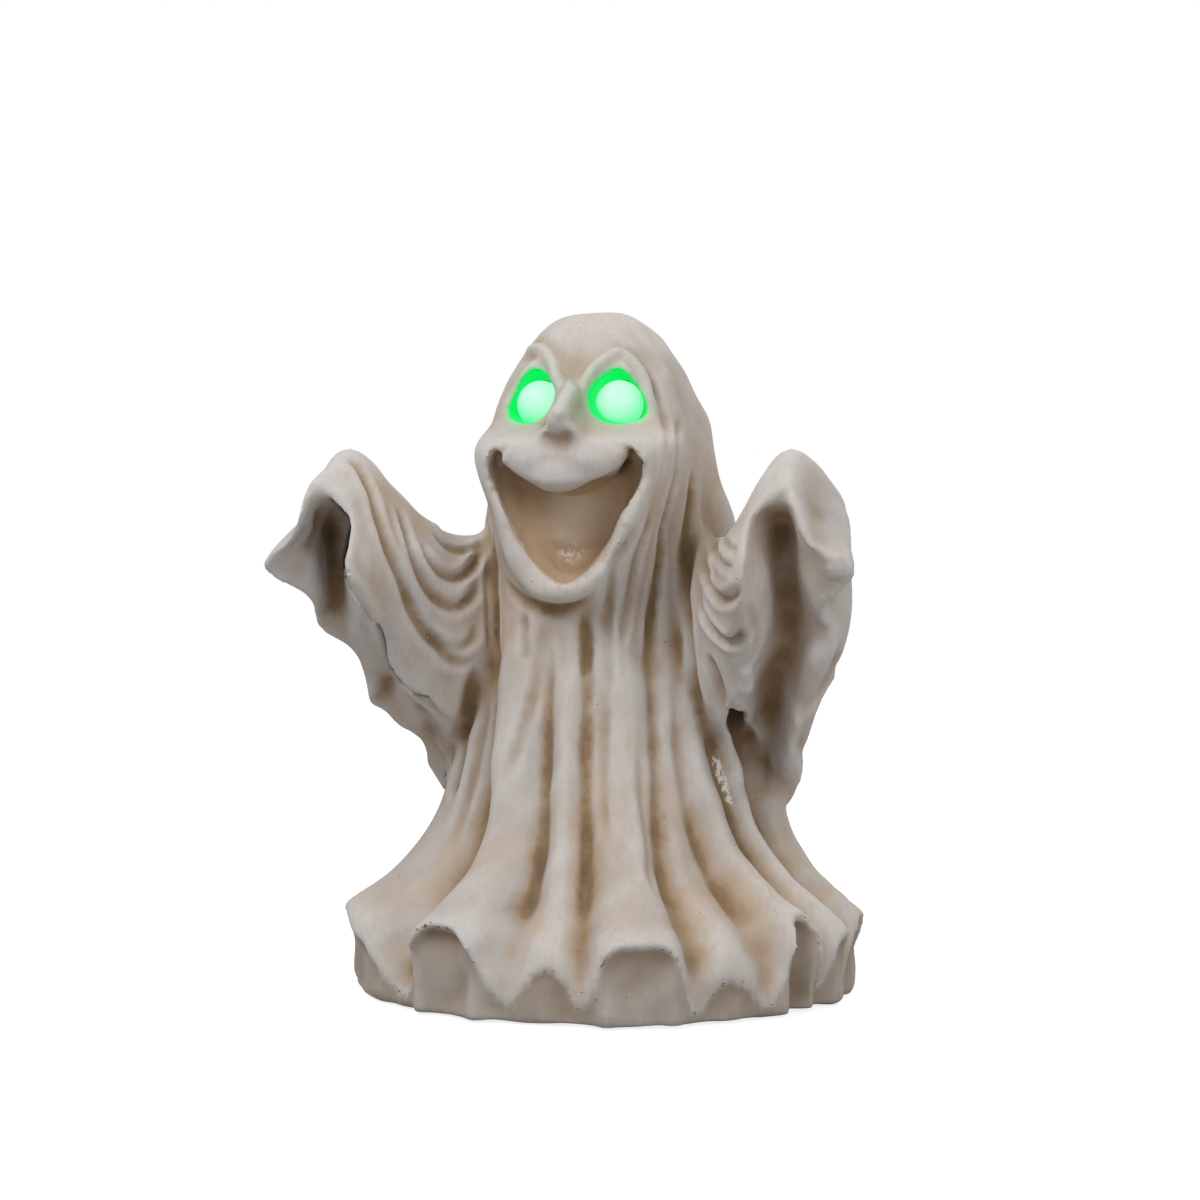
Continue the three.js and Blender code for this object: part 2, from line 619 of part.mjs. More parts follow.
// Materials, with each colour as seen or as usual for such a piece.
const stone = new THREE.MeshStandardMaterial({ color: "#b9ada0", roughness: 0.9 });
const frosted = new THREE.MeshStandardMaterial({ color: "#c8ffe0", roughness: 0.5, emissive: "#30ff90" });
const lamp = new THREE.MeshStandardMaterial({ color: "#9dffc0", roughness: 0.2, emissive: "#20ff70" });
const blackPlastic = new THREE.MeshStandardMaterial({ color: "#1d1d1f", roughness: 0.55 });
const greyPlastic = new THREE.MeshStandardMaterial({ color: "#8d8f91", roughness: 0.5 });
const whitePlastic = new THREE.MeshStandardMaterial({ color: "#d9d7d0", roughness: 0.5 });
const rubber = new THREE.MeshStandardMaterial({ color: "#17181a", roughness: 0.85 });
const steel = new THREE.MeshStandardMaterial({ color: "#b9bcc0", roughness: 0.35, metalness: 1 });
const nickel = new THREE.MeshStandardMaterial({ color: "#c9c6bf", roughness: 0.25, metalness: 1 });
const board = new THREE.MeshStandardMaterial({ color: "#1f5a33", roughness: 0.5 });
const cellWrap = new THREE.MeshStandardMaterial({ color: "#5b6f86", roughness: 0.4, metalness: 0.3 });
const copperLead = new THREE.MeshStandardMaterial({ color: "#7d1f1c", roughness: 0.6 });

const figure = new THREE.Group();

function add(parent, name, geometry, material) {
  const mesh = new THREE.Mesh(geometry, material);
  mesh.name = name;
  parent.add(mesh);
  return mesh;
}

// The two eyes' frames: local +Z points back into the head from the middle of each ball.
const eyePlaces = { left: eyeSpacing / 2, right: -eyeSpacing / 2 };

function eyeGroup(x) {
  const place = new THREE.Group();
  place.position.set(x, -eyeForward, eyeHeight);
  place.rotation.x = -Math.PI / 2;
  figure.add(place);
  place.updateMatrixWorld(true);
  return place;
}

const neckRadius = neckDiameter / 2;
const neckBore = neckRadius - neckWall;

function arc(radius, from, to, steps) {
  return Array.from({ length: steps + 1 }, (_, k) => {
    const turn = lerp(from, to, k / steps);
    return [radius * Math.sin(turn), -radius * Math.cos(turn)];
  });
}

// A hollow ball with its neck at the back, as one wall.
function diffuser() {
  const inner = ballRadius - eyeWall;
  const outerTurn = Math.PI - Math.asin(neckRadius / ballRadius);
  const innerTurn = Math.PI - Math.asin(neckBore / inner);
  const outside = arc(ballRadius, 0, outerTurn, 9);
  const inside = arc(inner, 0, innerTurn, 5).reverse();
  outside[0][0] = 0;
  inside[inside.length - 1][0] = 0;
  return turned([...outside, [neckRadius, neckEnd], [neckBore, neckEnd], ...inside], 16);
}

// A flat ring that holds the ball's back, glued into the seat.
const seatRadius = ballRadius + eyeFit;
const collarStart = Math.sqrt(ballRadius ** 2 - (neckRadius + seat) ** 2) + seat;

function collar() {
  const inner = neckRadius + seat;
  const outer = seatRadius - seat;
  return washer(inner, outer, collarStart, collarStart + collarDepth);
}

// A plug in the neck that carries the lamp's legs.
const flangeWidth = 1.2; // of the lamp's own flange and of the plug's step
const lampFlange = ledTip + ledLength;
const plugStart = lampFlange + flangeWidth + seat;
const plugBore = ledDiameter / 2 + seat;
const plugEnd = neckEnd + seat + 2.7;

function ledHolder() {
  const step = neckEnd + seat;
  const plug = neckBore - seat;
  return turned([
    [plugBore, plugStart], [plug, plugStart], [plug, step], [neckRadius, step], [neckRadius, plugEnd],
    [plugBore, plugEnd], [plugBore, plugStart],
  ], 14);
}

const legHalf = legWidth / 2;

function ledBulb() {
  const radius = ledDiameter / 2;
  const dome = arc(radius, 0, Math.PI / 2, 4).map(([r, z]) => [r, z + ledTip + radius]);
  dome[0][0] = 0;
  const rim = radius + 0.4;
  const back = lampFlange + flangeWidth;
  const lens = turned([...dome, [radius, lampFlange], [rim, lampFlange], [rim, back], [0, back]], 12);
  const leg = (x) => block([x - legHalf, x + legHalf], [-legHalf, legHalf], [back - 0.4, legEnd]);
  return surface(joined(lens, leg(legGap / 2), leg(-legGap / 2)));
}

const sleeveBore = legGap / 2 + legHalf + 0.35;
const sleeveStart = plugEnd + seat;
const sleeveEnd = legEnd + 7;

function leadSleeve() {
  return washer(sleeveBore, sleeveBore + 0.7, sleeveStart, sleeveEnd);
}

// The battery box's frame: local +Z points out of the back, +Y up along the pad and +X to the figure's right.
const pad = new THREE.Group();
const plainBack = robeRadius(padHeight) * atHeight(depthHeights, depthShares, padHeight);
pad.position.set(0, plainBack + padProud, padHeight);
pad.rotation.set(degToRad(padTilt - 90), 0, Math.PI);
figure.add(pad);
pad.updateMatrixWorld(true);
const onPad = (x, y, z) => new THREE.Vector3(x, y, z).applyMatrix4(pad.matrixWorld);

// Heights above the pad, outwards
const gasketBase = seat;
const flangeBase = gasketBase + gasketThickness + seat;
const flangeTop = flangeBase + flangeThickness;
const doorBase = flangeTop + seat;
const doorTop = doorBase + doorThickness;

// The bay for the cells, across and up the pad
const cellPitch = cellDiameter + cellGap;
const bayHalf = 1.5 * cellPitch + 0.7;
const bayLength = cellLength + springLength + 2 * contactThickness + 5 * seat;
const bay = [bayMiddle - bayLength / 2, bayMiddle + bayLength / 2];
const bayFloor = doorBase - cellDiameter - 3;
const tubHalf = bayHalf + boxWall;
const tub = [bay[0] - boxWall, bay[1] + boxWall];

// The shallow bay under it for the board and switch
const boardHalf = { across: 21, up: 5 };
const boardThickness = 1.2;
const switchMiddle = tub[0] - boardHalf.up - 3.2;
const switchBody = { across: 7, up: 3.5, deep: 4.4 };
const switchTop = flangeBase - 1.2;
const boardTop = switchTop - switchBody.deep - seat;
const shelf = boardTop - boardThickness - seat;
const shallow = [switchMiddle - boardHalf.up - running, switchMiddle + boardHalf.up + running];
const shallowHalf = boardHalf.across + running;
const leadAcross = boardHalf.across - 4;
const leadPlaces = [-leadAcross, leadAcross];

// The flange round both, screwed to the pad
const flangeHalf = tubHalf + 9;
const flangeRun = [shallow[0] - 8, tub[1] + 6.2];
const padHalf = flangeHalf + padMargin;
const padRun = [flangeRun[0] - padMargin, flangeRun[1] + padMargin];
const boxScrewRadius = 1.1;
const boxScrewHead = { radius: 2.4, height: 1.5 };
const boxScrewLength = 10; // in the casting
const boxScrewInset = 4;
const boxScrewPlaces = [flangeRun[1] - boxScrewInset, flangeRun[0] + boxScrewInset].flatMap((y) => [
  [-flangeHalf + boxScrewInset, y],
  [flangeHalf - boxScrewInset, y],
]);
const boxHole = [shallow[0] - boxWall - running, tub[1] + running];

function boxScrewHoles(start, end) {
  return boxScrewPlaces.map(([x, y]) => bar(boxScrewRadius + seat, [start, end], x, y, 8));
}

// What passes through the box: the switch's knob and the leads' grommets
const knob = { across: 2, up: 1.6 };
const knobFoot = 0.8; // under the flange, round the knob
const knobProud = 1.2; // of the knob over the flange
const leadRadius = leadDiameter / 2;
const grommet = { bore: leadRadius + seat, waist: leadRadius + 1.5, rim: leadRadius + 2.9, lip: 1 };

// The door, its hinge on the pad's -X side and its screw on the other
const hinge = { x: -flangeHalf + 4.5, z: flangeTop + hingeRadius + seat };
const doorMargin = 1.5; // over the bay's walls
const doorSpan = [hinge.x + hingeRadius + running, tubHalf + doorMargin];
const doorRun = [tub[0] - doorMargin, tub[1] + doorMargin];
const knuckleHalf = 15.5;
const knuckleRun = [bayMiddle - knuckleHalf, bayMiddle + knuckleHalf];
const sideKnuckle = 12;
const sideKnuckles = [
  [knuckleRun[0] - running - sideKnuckle, knuckleRun[0] - running],
  [knuckleRun[1] + running, knuckleRun[1] + running + sideKnuckle],
];
const doorScrewPlace = [tubHalf + 4.5, bayMiddle];
const doorScrewRadius = 1.3;
const doorScrewHead = { radius: 3.2, height: 1.8 };
const doorScrewLength = doorTop - flangeBase;
const bossRadius = 3.6;
const bossDepth = 7;
const bossWall = 1.3;

// A round bar up the pad.
function rod([start, end], radius, x, z, sides = 12) {
  return bar(radius, [start, end], 0, 0, sides).rotateX(-Math.PI / 2).translate(x, 0, z);
}

// The screws that hold the base plate, and their places round it
const plateScrewRadius = 1.5;
const plateScrewHead = { radius: 3.2, height: 1.8 };
const plateScrewLength = 15;
const quarters = [45, 135, 225, 315].map(degToRad);
const plateScrewPlaces = quarters.map((turn) => (
  [plateScrewCircle * Math.sin(turn), -plateScrewCircle * Math.cos(turn)]
));

// The casting: robe, sleeves and nose in one, with a flat pad in its back.
const padDepth = 42; // of the casting behind the pad
const toolReach = 60; // of a cut past what it goes through
const seatBore = eyeForward - mouthBack + mouthWall + wall; // from a ball's centre back into the hollow

function ghostShell() {
  const boss = block([-padHalf, padHalf], padRun, [-padDepth, 0]);
  const body = joined(robe(), sleeve(1), sleeve(-1), nose(), boss.applyMatrix4(pad.matrixWorld));
  const half = tubHalf + running;
  const padTools = [
    block([-padHalf, padHalf], padRun, [0, toolReach]),
    block([-half, half], boxHole, [-toolReach, toolReach]),
    bar(bossRadius + running, [flangeBase - bossDepth - seat, toolReach], ...doorScrewPlace, 14),
    ...boxScrewHoles(-boxScrewLength - seat, toolReach),
  ].map((tool) => tool.applyMatrix4(pad.matrixWorld));
  const seats = [1, -1].flatMap((side) => {
    const place = [(side * eyeSpacing) / 2, -eyeForward, eyeHeight];
    return [
      welded(new THREE.SphereGeometry(seatRadius, 20, 10)).translate(...place),
      bar(seatRadius, [0, seatBore], 0, 0, 20).rotateX(-Math.PI / 2).translate(...place),
    ];
  });
  const screwHoles = plateScrewPlaces.map(([x, y]) => (
    bar(plateScrewRadius + seat, [0, plateBottom + plateScrewLength + seat], x, y, 8)
  ));
  const hollows = [innerSpace(0), mouthHollow(), socketHollow(1), socketHollow(-1)];
  return surface(cut(body, ...hollows, ...padTools, ...seats, ...screwHoles));
}

// The base plate, with its screws' heads sunk in it
const plateBottom = plateTop - plateThickness;
const sinkDepth = plateScrewHead.height + seat;

function basePlate() {
  const plate = bar(plateRadius, [plateBottom, plateTop], 0, 0, 48);
  const holes = plateScrewPlaces.flatMap(([x, y]) => [
    bar(plateScrewRadius + seat, [plateBottom - 1, plateTop + 1], x, y, 8),
    bar(plateScrewHead.radius + seat, [plateBottom - 1, plateBottom + sinkDepth], x, y, 10),
  ]);
  return surface(cut(solid(plate), ...holes));
}

// A screw with its head's upper face at nought and its shaft down along -Z, with a cross in the head.
function screw(shaft, head, length) {
  const blank = turned([
    [0, -length], [shaft * 0.6, -length], [shaft, -length + shaft], [shaft, -head.height],
    [head.radius, -head.height], [head.radius, -head.height * 0.4], [head.radius * 0.75, 0], [0, 0],
  ], 9);
  const slot = head.radius * 0.6;
  const narrow = head.radius * 0.12;
  const deep = [-head.height * 0.5, 1];
  const one = block([-slot, slot], [-narrow, narrow], deep);
  const other = block([-narrow, narrow], [-slot, slot], deep);
  return surface(cut(solid(blank), one, other));
}

// A flat ring round the bay, between two distances out from its walls.
const gasketInset = 1.2; // from the bay's walls out to the door's gasket
const gasketWidth = 1;
const grooveDepth = 1;

function bayRing(inner, outer, height) {
  const around = (out, run) => block([-bayHalf - out, bayHalf + out], [bay[0] - out, bay[1] + out], run);
  return cut(solid(around(outer, height)), around(inner, [-toolReach, toolReach]));
}

// The battery box
function batteryBox() {
  const flange = block([-flangeHalf, flangeHalf], flangeRun, [flangeBase, flangeTop]);
  const deepTub = block([-tubHalf, tubHalf], tub, [bayFloor - boxWall, flangeBase + 1]);
  const shallowTub = block(
    [-shallowHalf - boxWall, shallowHalf + boxWall],
    [shallow[0] - boxWall, tub[0] + 1],
    [shelf - boxWall, flangeBase + 1],
  );
  const boss = bar(bossRadius, [flangeBase - bossDepth, flangeBase + 1], ...doorScrewPlace, 14);
  const knuckles = sideKnuckles.flatMap((run) => [
    rod(run, hingeRadius, hinge.x, hinge.z),
    block([hinge.x - hingeRadius, hinge.x + hingeRadius], run, [flangeTop - 1, hinge.z]),
  ]);
  const body = joined(flange, deepTub, shallowTub, boss, ...knuckles);
  const grooveWidth = [gasketInset - seat, gasketInset + gasketWidth + seat];
  const groove = bayRing(...grooveWidth, [flangeTop - grooveDepth, flangeTop + 1]);
  const slot = { across: switchTravel / 2 + knob.across + running, up: knob.up + running };
  const tools = [
    block([-bayHalf, bayHalf], bay, [bayFloor, toolReach]),
    block([-shallowHalf, shallowHalf], shallow, [shelf, flangeBase]),
    block([-slot.across, slot.across], [switchMiddle - slot.up, switchMiddle + slot.up], [0, toolReach]),
    bar(bossRadius - bossWall, [flangeBase - bossDepth + 1.5, toolReach], ...doorScrewPlace, 14),
    rod([-toolReach, toolReach], pinRadius + seat, hinge.x, hinge.z),
    ...boxScrewHoles(0, toolReach),
    ...leadPlaces.map((x) => bar(grommet.waist + seat, [shelf - 5, shelf + 1], x, switchMiddle, 14)),
  ];
  return surface(cut(body.subtract(groove), ...tools));
}

function leadGrommet() {
  const top = shelf + seat + grommet.lip;
  const under = shelf - boxWall - seat;
  return turned([
    [grommet.bore, under - grommet.lip], [grommet.rim, under - grommet.lip], [grommet.rim, under],
    [grommet.waist, under], [grommet.waist, shelf + seat], [grommet.rim, shelf + seat], [grommet.rim, top],
    [grommet.bore, top], [grommet.bore, under - grommet.lip],
  ], 10);
}

function boxGasket() {
  const outer = block(
    [-flangeHalf, flangeHalf], flangeRun, [gasketBase, gasketBase + gasketThickness],
  );
  const tools = [
    block([-tubHalf - running, tubHalf + running], boxHole, [-1, 5]),
    bar(bossRadius + running, [-1, 5], ...doorScrewPlace, 14),
    ...boxScrewHoles(-1, 5),
  ];
  return surface(cut(solid(outer), ...tools));
}

function doorGasket() {
  const height = [flangeTop - grooveDepth + seat, doorBase - seat / 2];
  return surface(bayRing(gasketInset, gasketInset + gasketWidth, height));
}

// The door: a plate with a tab for its screw, finger ribs and the hinge's middle knuckle.
const ribHalf = 0.6;
const ribHeight = 0.8;

function batteryDoor() {
  const tab = 4.5; // round the screw
  const [tabX, tabY] = doorScrewPlace;
  const plate = block(doorSpan, doorRun, [doorBase, doorTop]);
  const ear = block([doorSpan[1] - 1, tabX + tab], [tabY - tab, tabY + tab], [doorBase, doorTop]);
  const barrel = rod(knuckleRun, hingeRadius, hinge.x, hinge.z);
  const web = block([hinge.x, doorSpan[0] + 1], knuckleRun, [hinge.z - 1.6, doorTop]);
  const ribRun = [doorSpan[0] + 4, doorSpan[1] - 4];
  const ribs = [-14, 0, 14].map((step) => {
    const y = bayMiddle + step;
    return block(ribRun, [y - ribHalf, y + ribHalf], [doorTop - 0.5, doorTop + ribHeight]);
  });
  const body = joined(plate, ear, barrel, web, ...ribs);
  return surface(cut(
    body,
    rod([-toolReach, toolReach], pinRadius + seat, hinge.x, hinge.z),
    bar(doorScrewRadius + seat, [0, 20], ...doorScrewPlace, 12),
  ));
}

function hingePin() {
  const start = sideKnuckles[0][0] - 1;
  const head = { radius: pinRadius + 0.8, height: 0.9 };
  const under = sideKnuckles[1][1] + seat;
  const top = under + head.height;
  const shaft = [[0, start], [pinRadius, start], [pinRadius, under]];
  const cap = [[head.radius, under], [head.radius, top], [0, top]];
  return turned([...shaft, ...cap], 12).rotateX(-Math.PI / 2).translate(hinge.x, 0, hinge.z);
}

// A cell along the pad, with its raised contact at +Y or turned round.
const cellAxis = bayFloor + seat + cellDiameter / 2;
const cells = [
  { name: "battery_cell_1", x: -cellPitch, up: true },
  { name: "battery_cell_2", x: 0, up: false },
  { name: "battery_cell_3", x: cellPitch, up: true },
];
const nearContact = bay[0] + seat + contactThickness;
const farContact = bay[1] - seat - contactThickness;

function cell() {
  const radius = cellDiameter / 2;
  const nub = { radius: 2.7, height: 1.3 };
  const body = cellLength - nub.height;
  return turned([
    [0, 0], [radius - 0.8, 0], [radius, 0.5], [radius, body - 0.6], [radius - 0.8, body],
    [nub.radius, body], [nub.radius, cellLength], [0, cellLength],
  ], 14);
}

// A contact spring's wire, wound along Z from nought to its length.
const springCurls = 3;
const springSteps = 8; // round one curl
const springSides = 5; // round the wire
const wireRadius = 0.4;
const springRadius = 4.3;

function springRings() {
  const rise = springLength - 2 * seat - 2 * wireRadius;
  return Array.from({ length: springSteps * springCurls + 1 }, (_, k) => {
    const turn = (k / springSteps) * 2 * Math.PI;
    const height = wireRadius + (rise * k) / (springSteps * springCurls);
    return Array.from({ length: springSides }, (__, side) => {
      const round = (side / springSides) * 2 * Math.PI;
      const radius = springRadius + wireRadius * Math.cos(round);
      const z = height + wireRadius * Math.sin(round);
      return new THREE.Vector3(radius * Math.cos(turn), radius * Math.sin(turn), z);
    });
  });
}

// The least gap between the wire's points nearly one curl apart and more.
function springGap(rings) {
  let least = Infinity;
  rings.forEach((ring, k) => {
    for (const other of rings.slice(k + springSteps - 1)) {
      for (const point of ring) for (const far of other) least = Math.min(least, point.distanceTo(far));
    }
  });
  return least;
}

function middleOf(ring) {
  return ring.reduce((sum, point) => sum.add(point), new THREE.Vector3()).divideScalar(ring.length);
}

function contactSpring() {
  const rings = springRings();
  return tube(rings, middleOf(rings[0]), middleOf(rings[rings.length - 1]));
}

console.log(`least gap between a spring's curls: ${springGap(springRings()).toFixed(2)} mm`);

function contactPlate(from, to) {
  const bottom = bayFloor + seat;
  return block([from, to], [0, contactThickness], [bottom, bottom + 11]);
}

// The board, its timer chip and the slide switch
function timerBoard() {
  const plate = block(
    [-boardHalf.across, boardHalf.across],
    [switchMiddle - boardHalf.up, switchMiddle + boardHalf.up],
    [boardTop - boardThickness, boardTop],
  );
  const holes = leadPlaces.map((x) => bar(grommet.rim + seat, [-20, 5], x, switchMiddle, 12));
  return surface(cut(solid(plate), ...holes));
}

function slideSwitch() {
  return block(
    [-switchBody.across, switchBody.across],
    [switchMiddle - switchBody.up, switchMiddle + switchBody.up],
    [switchTop - switchBody.deep, switchTop],
  );
}

function switchSlider() {
  const pillar = (margin, height) => block(
    [-knob.across - margin, knob.across + margin],
    [switchMiddle - knob.up - margin, switchMiddle + knob.up + margin],
    height,
  );
  const foot = pillar(knobFoot, [switchTop + seat, flangeBase - seat]);
  const stem = pillar(0, [switchTop + seat, flangeTop + knobProud]);
  return surface(joined(foot, stem));
}

const chip = { across: 11, half: 2, height: 1.6 };

function timerChip() {
  return block(
    [chip.across - chip.half, chip.across + chip.half],
    [switchMiddle - chip.half, switchMiddle + chip.half],
    [boardTop + seat, boardTop + seat + chip.height],
  );
}

// The leads from the box to the eyes, along the inside of the back, as points of [across, in from the
// hollow's back, height].
const leadMiddle = [
  [16, 6, 115], [15, 4.8, 150], [14, 4.9, 185], [14, 4.8, 225], [16, 5.2, 268], [17.5, 5.5, 292],
  [20, 10, 316],
];

function leadPath(side) {
  const exit = (depth) => onPad(-side * leadAcross, switchMiddle, depth);
  const x = (side * eyeSpacing) / 2;
  const middle = leadMiddle.map(([across, inward, height]) => (
    new THREE.Vector3(side * across, hollowAt(level(height)).back - inward, level(height))
  ));
  return new THREE.CatmullRomCurve3([
    exit(boardTop),
    exit(shelf - boxWall - 6),
    exit(shelf - boxWall - 13),
    ...middle,
    new THREE.Vector3(x, 17, eyeHeight - 12),
    new THREE.Vector3(x, -4, eyeHeight),
    new THREE.Vector3(x, -eyeForward + legEnd + 6, eyeHeight),
    new THREE.Vector3(x, -eyeForward + legEnd + seat, eyeHeight),
  ]);
}

function lead(side, room) {
  const section = new THREE.Shape().absarc(0, 0, leadRadius + room, 0, 2 * Math.PI);
  const options = { steps: 42, curveSegments: 4, extrudePath: leadPath(side) };
  return welded(new THREE.ExtrudeGeometry(section, options));
}

// A saddle glued to the back's inner wall round a lead.
const clipHeights = [185, 270].map(level);
const clipHalf = { across: 4, high: 3 };
const clipFront = leadRadius + 1.1;
const clipReach = 25; // past the lead, cut off by the casting

function leadClip(side, height) {
  const points = leadPath(side).getSpacedPoints(400);
  const { x, y, z } = points.reduce((best, point) => (
    Math.abs(point.z - height) < Math.abs(best.z - height) ? point : best
  ));
  const saddle = block(
    [x - clipHalf.across, x + clipHalf.across],
    [y - clipFront, y + clipReach],
    [z - clipHalf.high, z + clipHalf.high],
  );
  const fitted = solid(saddle).intersect(solid(innerSpace(seat)));
  return surface(fitted.subtract(solid(lead(side, seat))));
}

// The feet under the rim
const footCircle = plateRadius + plateGap + footMargin + footDiameter / 2;

function footPad() {
  return bar(footDiameter / 2, [0, footHeight - seat], 0, 0, 14);
}

add(figure, "ghost_shell", ghostShell(), stone);

for (const [name, x] of Object.entries(eyePlaces)) {
  const place = eyeGroup(x);
  add(place, `eye_diffuser_${name}`, diffuser(), frosted);
  add(place, `eye_collar_${name}`, collar(), whitePlastic);
  add(place, `led_holder_${name}`, ledHolder(), blackPlastic);
  add(place, `led_bulb_${name}`, ledBulb(), lamp);
  add(place, `lead_sleeve_${name}`, leadSleeve(), rubber);
  const side = Math.sign(x);
  add(figure, `eye_lead_${name}`, lead(side, 0), copperLead);
  clipHeights.forEach((height, k) => {
    add(figure, `lead_clip_${name}_${k + 1}`, leadClip(side, height), whitePlastic);
  });
  const ring = add(pad, `lead_grommet_${name}`, leadGrommet(), rubber);
  ring.position.set(-side * leadAcross, switchMiddle, 0);
}

add(pad, "battery_box", batteryBox(), blackPlastic);
add(pad, "box_gasket", boxGasket(), rubber);
add(pad, "door_gasket", doorGasket(), rubber);
add(pad, "battery_door", batteryDoor(), blackPlastic);
add(pad, "hinge_pin", hingePin(), steel);

boxScrewPlaces.forEach(([x, y], k) => {
  const shape = screw(boxScrewRadius, boxScrewHead, boxScrewLength + flangeTop + boxScrewHead.height);
  const piece = add(pad, `box_screw_${k + 1}`, shape, steel);
  piece.position.set(x, y, flangeTop + seat + boxScrewHead.height);
});

const doorScrew = add(pad, "door_screw", screw(doorScrewRadius, doorScrewHead, doorScrewLength), steel);
doorScrew.position.set(...doorScrewPlace, doorTop + seat + doorScrewHead.height);

cells.forEach(({ name, x, up }, k) => {
  const piece = add(pad, name, cell(), cellWrap);
  piece.rotation.x = up ? -Math.PI / 2 : Math.PI / 2;
  piece.position.set(x, up ? farContact - seat - cellLength : nearContact + seat + cellLength, cellAxis);
  const spring = add(pad, `contact_spring_${k + 1}`, contactSpring(), nickel);
  spring.rotation.x = up ? -Math.PI / 2 : Math.PI / 2;
  spring.position.set(x, up ? nearContact + seat : farContact - seat, cellAxis);
});

const single = 6;
const double = cellPitch / 2 + 6;
const plates = [
  ["contact_plate_1", -cellPitch, single, farContact],
  ["contact_plate_2", cellPitch / 2, double, farContact],
  ["contact_plate_3", -cellPitch / 2, double, bay[0] + seat],
  ["contact_plate_4", cellPitch, single, bay[0] + seat],
];
for (const [name, x, half, y] of plates) {
  add(pad, name, contactPlate(x - half, x + half), nickel).position.y = y;
}

add(pad, "timer_board", timerBoard(), board);
add(pad, "timer_chip", timerChip(), blackPlastic);
add(pad, "switch_body", slideSwitch(), steel);
add(pad, "switch_slider", switchSlider(), greyPlastic);

add(figure, "base_plate", basePlate(), blackPlastic);
plateScrewPlaces.forEach(([x, y], k) => {
  const shape = screw(plateScrewRadius, plateScrewHead, plateScrewLength);
  const piece = add(figure, `base_screw_${k + 1}`, shape, steel);
  piece.rotation.x = Math.PI;
  piece.position.set(x, y, plateBottom + sinkDepth - plateScrewHead.height - seat / 2);
});
quarters.forEach((turn, k) => {
  const piece = add(figure, `foot_pad_${k + 1}`, footPad(), rubber);
  piece.position.set(footCircle * Math.sin(turn), -footCircle * ledgeDepth * Math.cos(turn), 0);
});

export default figure;
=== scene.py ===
import math

import bmesh
import bpy
import numpy as np
from mathutils import Matrix, Vector
from mathutils.bvhtree import BVHTree


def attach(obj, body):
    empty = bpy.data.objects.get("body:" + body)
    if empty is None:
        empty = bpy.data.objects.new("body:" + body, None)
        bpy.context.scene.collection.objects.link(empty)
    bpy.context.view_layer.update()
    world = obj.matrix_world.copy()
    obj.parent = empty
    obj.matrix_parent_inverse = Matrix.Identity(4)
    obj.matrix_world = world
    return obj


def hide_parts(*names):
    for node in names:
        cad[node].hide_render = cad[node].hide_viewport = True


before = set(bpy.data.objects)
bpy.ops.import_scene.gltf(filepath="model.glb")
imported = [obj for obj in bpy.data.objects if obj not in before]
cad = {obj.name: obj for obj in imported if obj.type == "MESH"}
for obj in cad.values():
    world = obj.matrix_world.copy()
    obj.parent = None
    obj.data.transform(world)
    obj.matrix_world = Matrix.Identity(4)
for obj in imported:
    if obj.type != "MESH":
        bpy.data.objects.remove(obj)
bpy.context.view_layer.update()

# Lengths below are in millimetres and angles in degrees. The ghost faces -Y and its left is +X.
MM = 0.001

# The camera stands to the figure's left of the front and a little above its middle.
AZIMUTH = 15
ELEVATION = 3
DISTANCE = 1720
AIM_HEIGHT = 234.7
AIM_ACROSS = -1.8
LENS = 85
SENSOR = 36
PICTURE = 1200
FOCAL = LENS / SENSOR * PICTURE

turn = math.radians(AZIMUTH)
tilt = math.radians(ELEVATION)
camera_right = np.array([math.cos(turn), math.sin(turn), 0])
camera_back = np.array([math.sin(turn) * math.cos(tilt), -math.cos(turn) * math.cos(tilt), math.sin(tilt)])
camera_up = np.cross(camera_back, camera_right)
aim = camera_right * AIM_ACROSS + np.array([0, 0, AIM_HEIGHT])
camera_place = aim + camera_back * DISTANCE

camera_data = bpy.data.cameras.new("camera")
camera_data.lens = LENS
camera_data.sensor_width = SENSOR
camera = bpy.data.objects.new("camera", camera_data)
bpy.context.scene.collection.objects.link(camera)
camera.matrix_world = Matrix([
    [camera_right[k], camera_up[k], camera_back[k], camera_place[k] * MM] for k in range(3)
] + [[0, 0, 0, 1]])
bpy.context.scene.camera = camera


# Curves and surfaces

def along(rows, place):
    """Catmull-Rom through rows of numbers, at places from 0 on the first row to 1 on the last."""
    rows = np.asarray(rows, float)
    last = len(rows) - 1
    spot = np.clip(place, 0, 1) * last
    i = np.minimum(np.floor(spot).astype(int), last - 1)
    t = (spot - i)[..., None]
    padded = np.concatenate([2 * rows[:1] - rows[1:2], rows, 2 * rows[-1:] - rows[-2:-1]])
    a, b, c, d = (padded[i + k] for k in range(4))
    square = 2 * a - 5 * b + 4 * c - d
    cube = 3 * b - a - 3 * c + d
    return 0.5 * (2 * b + (c - a) * t + square * t ** 2 + cube * t ** 3)


def ramp(value, start, end, least=0, most=1):
    """A share that runs from 0 at the start to 1 at the end, held between the least and the most."""
    return np.clip((value - start) / (end - start), least, most)


def hill(value, middle, width):
    """Bell curve that is 1 at its middle."""
    return np.exp(-(((value - middle) / width) ** 2))


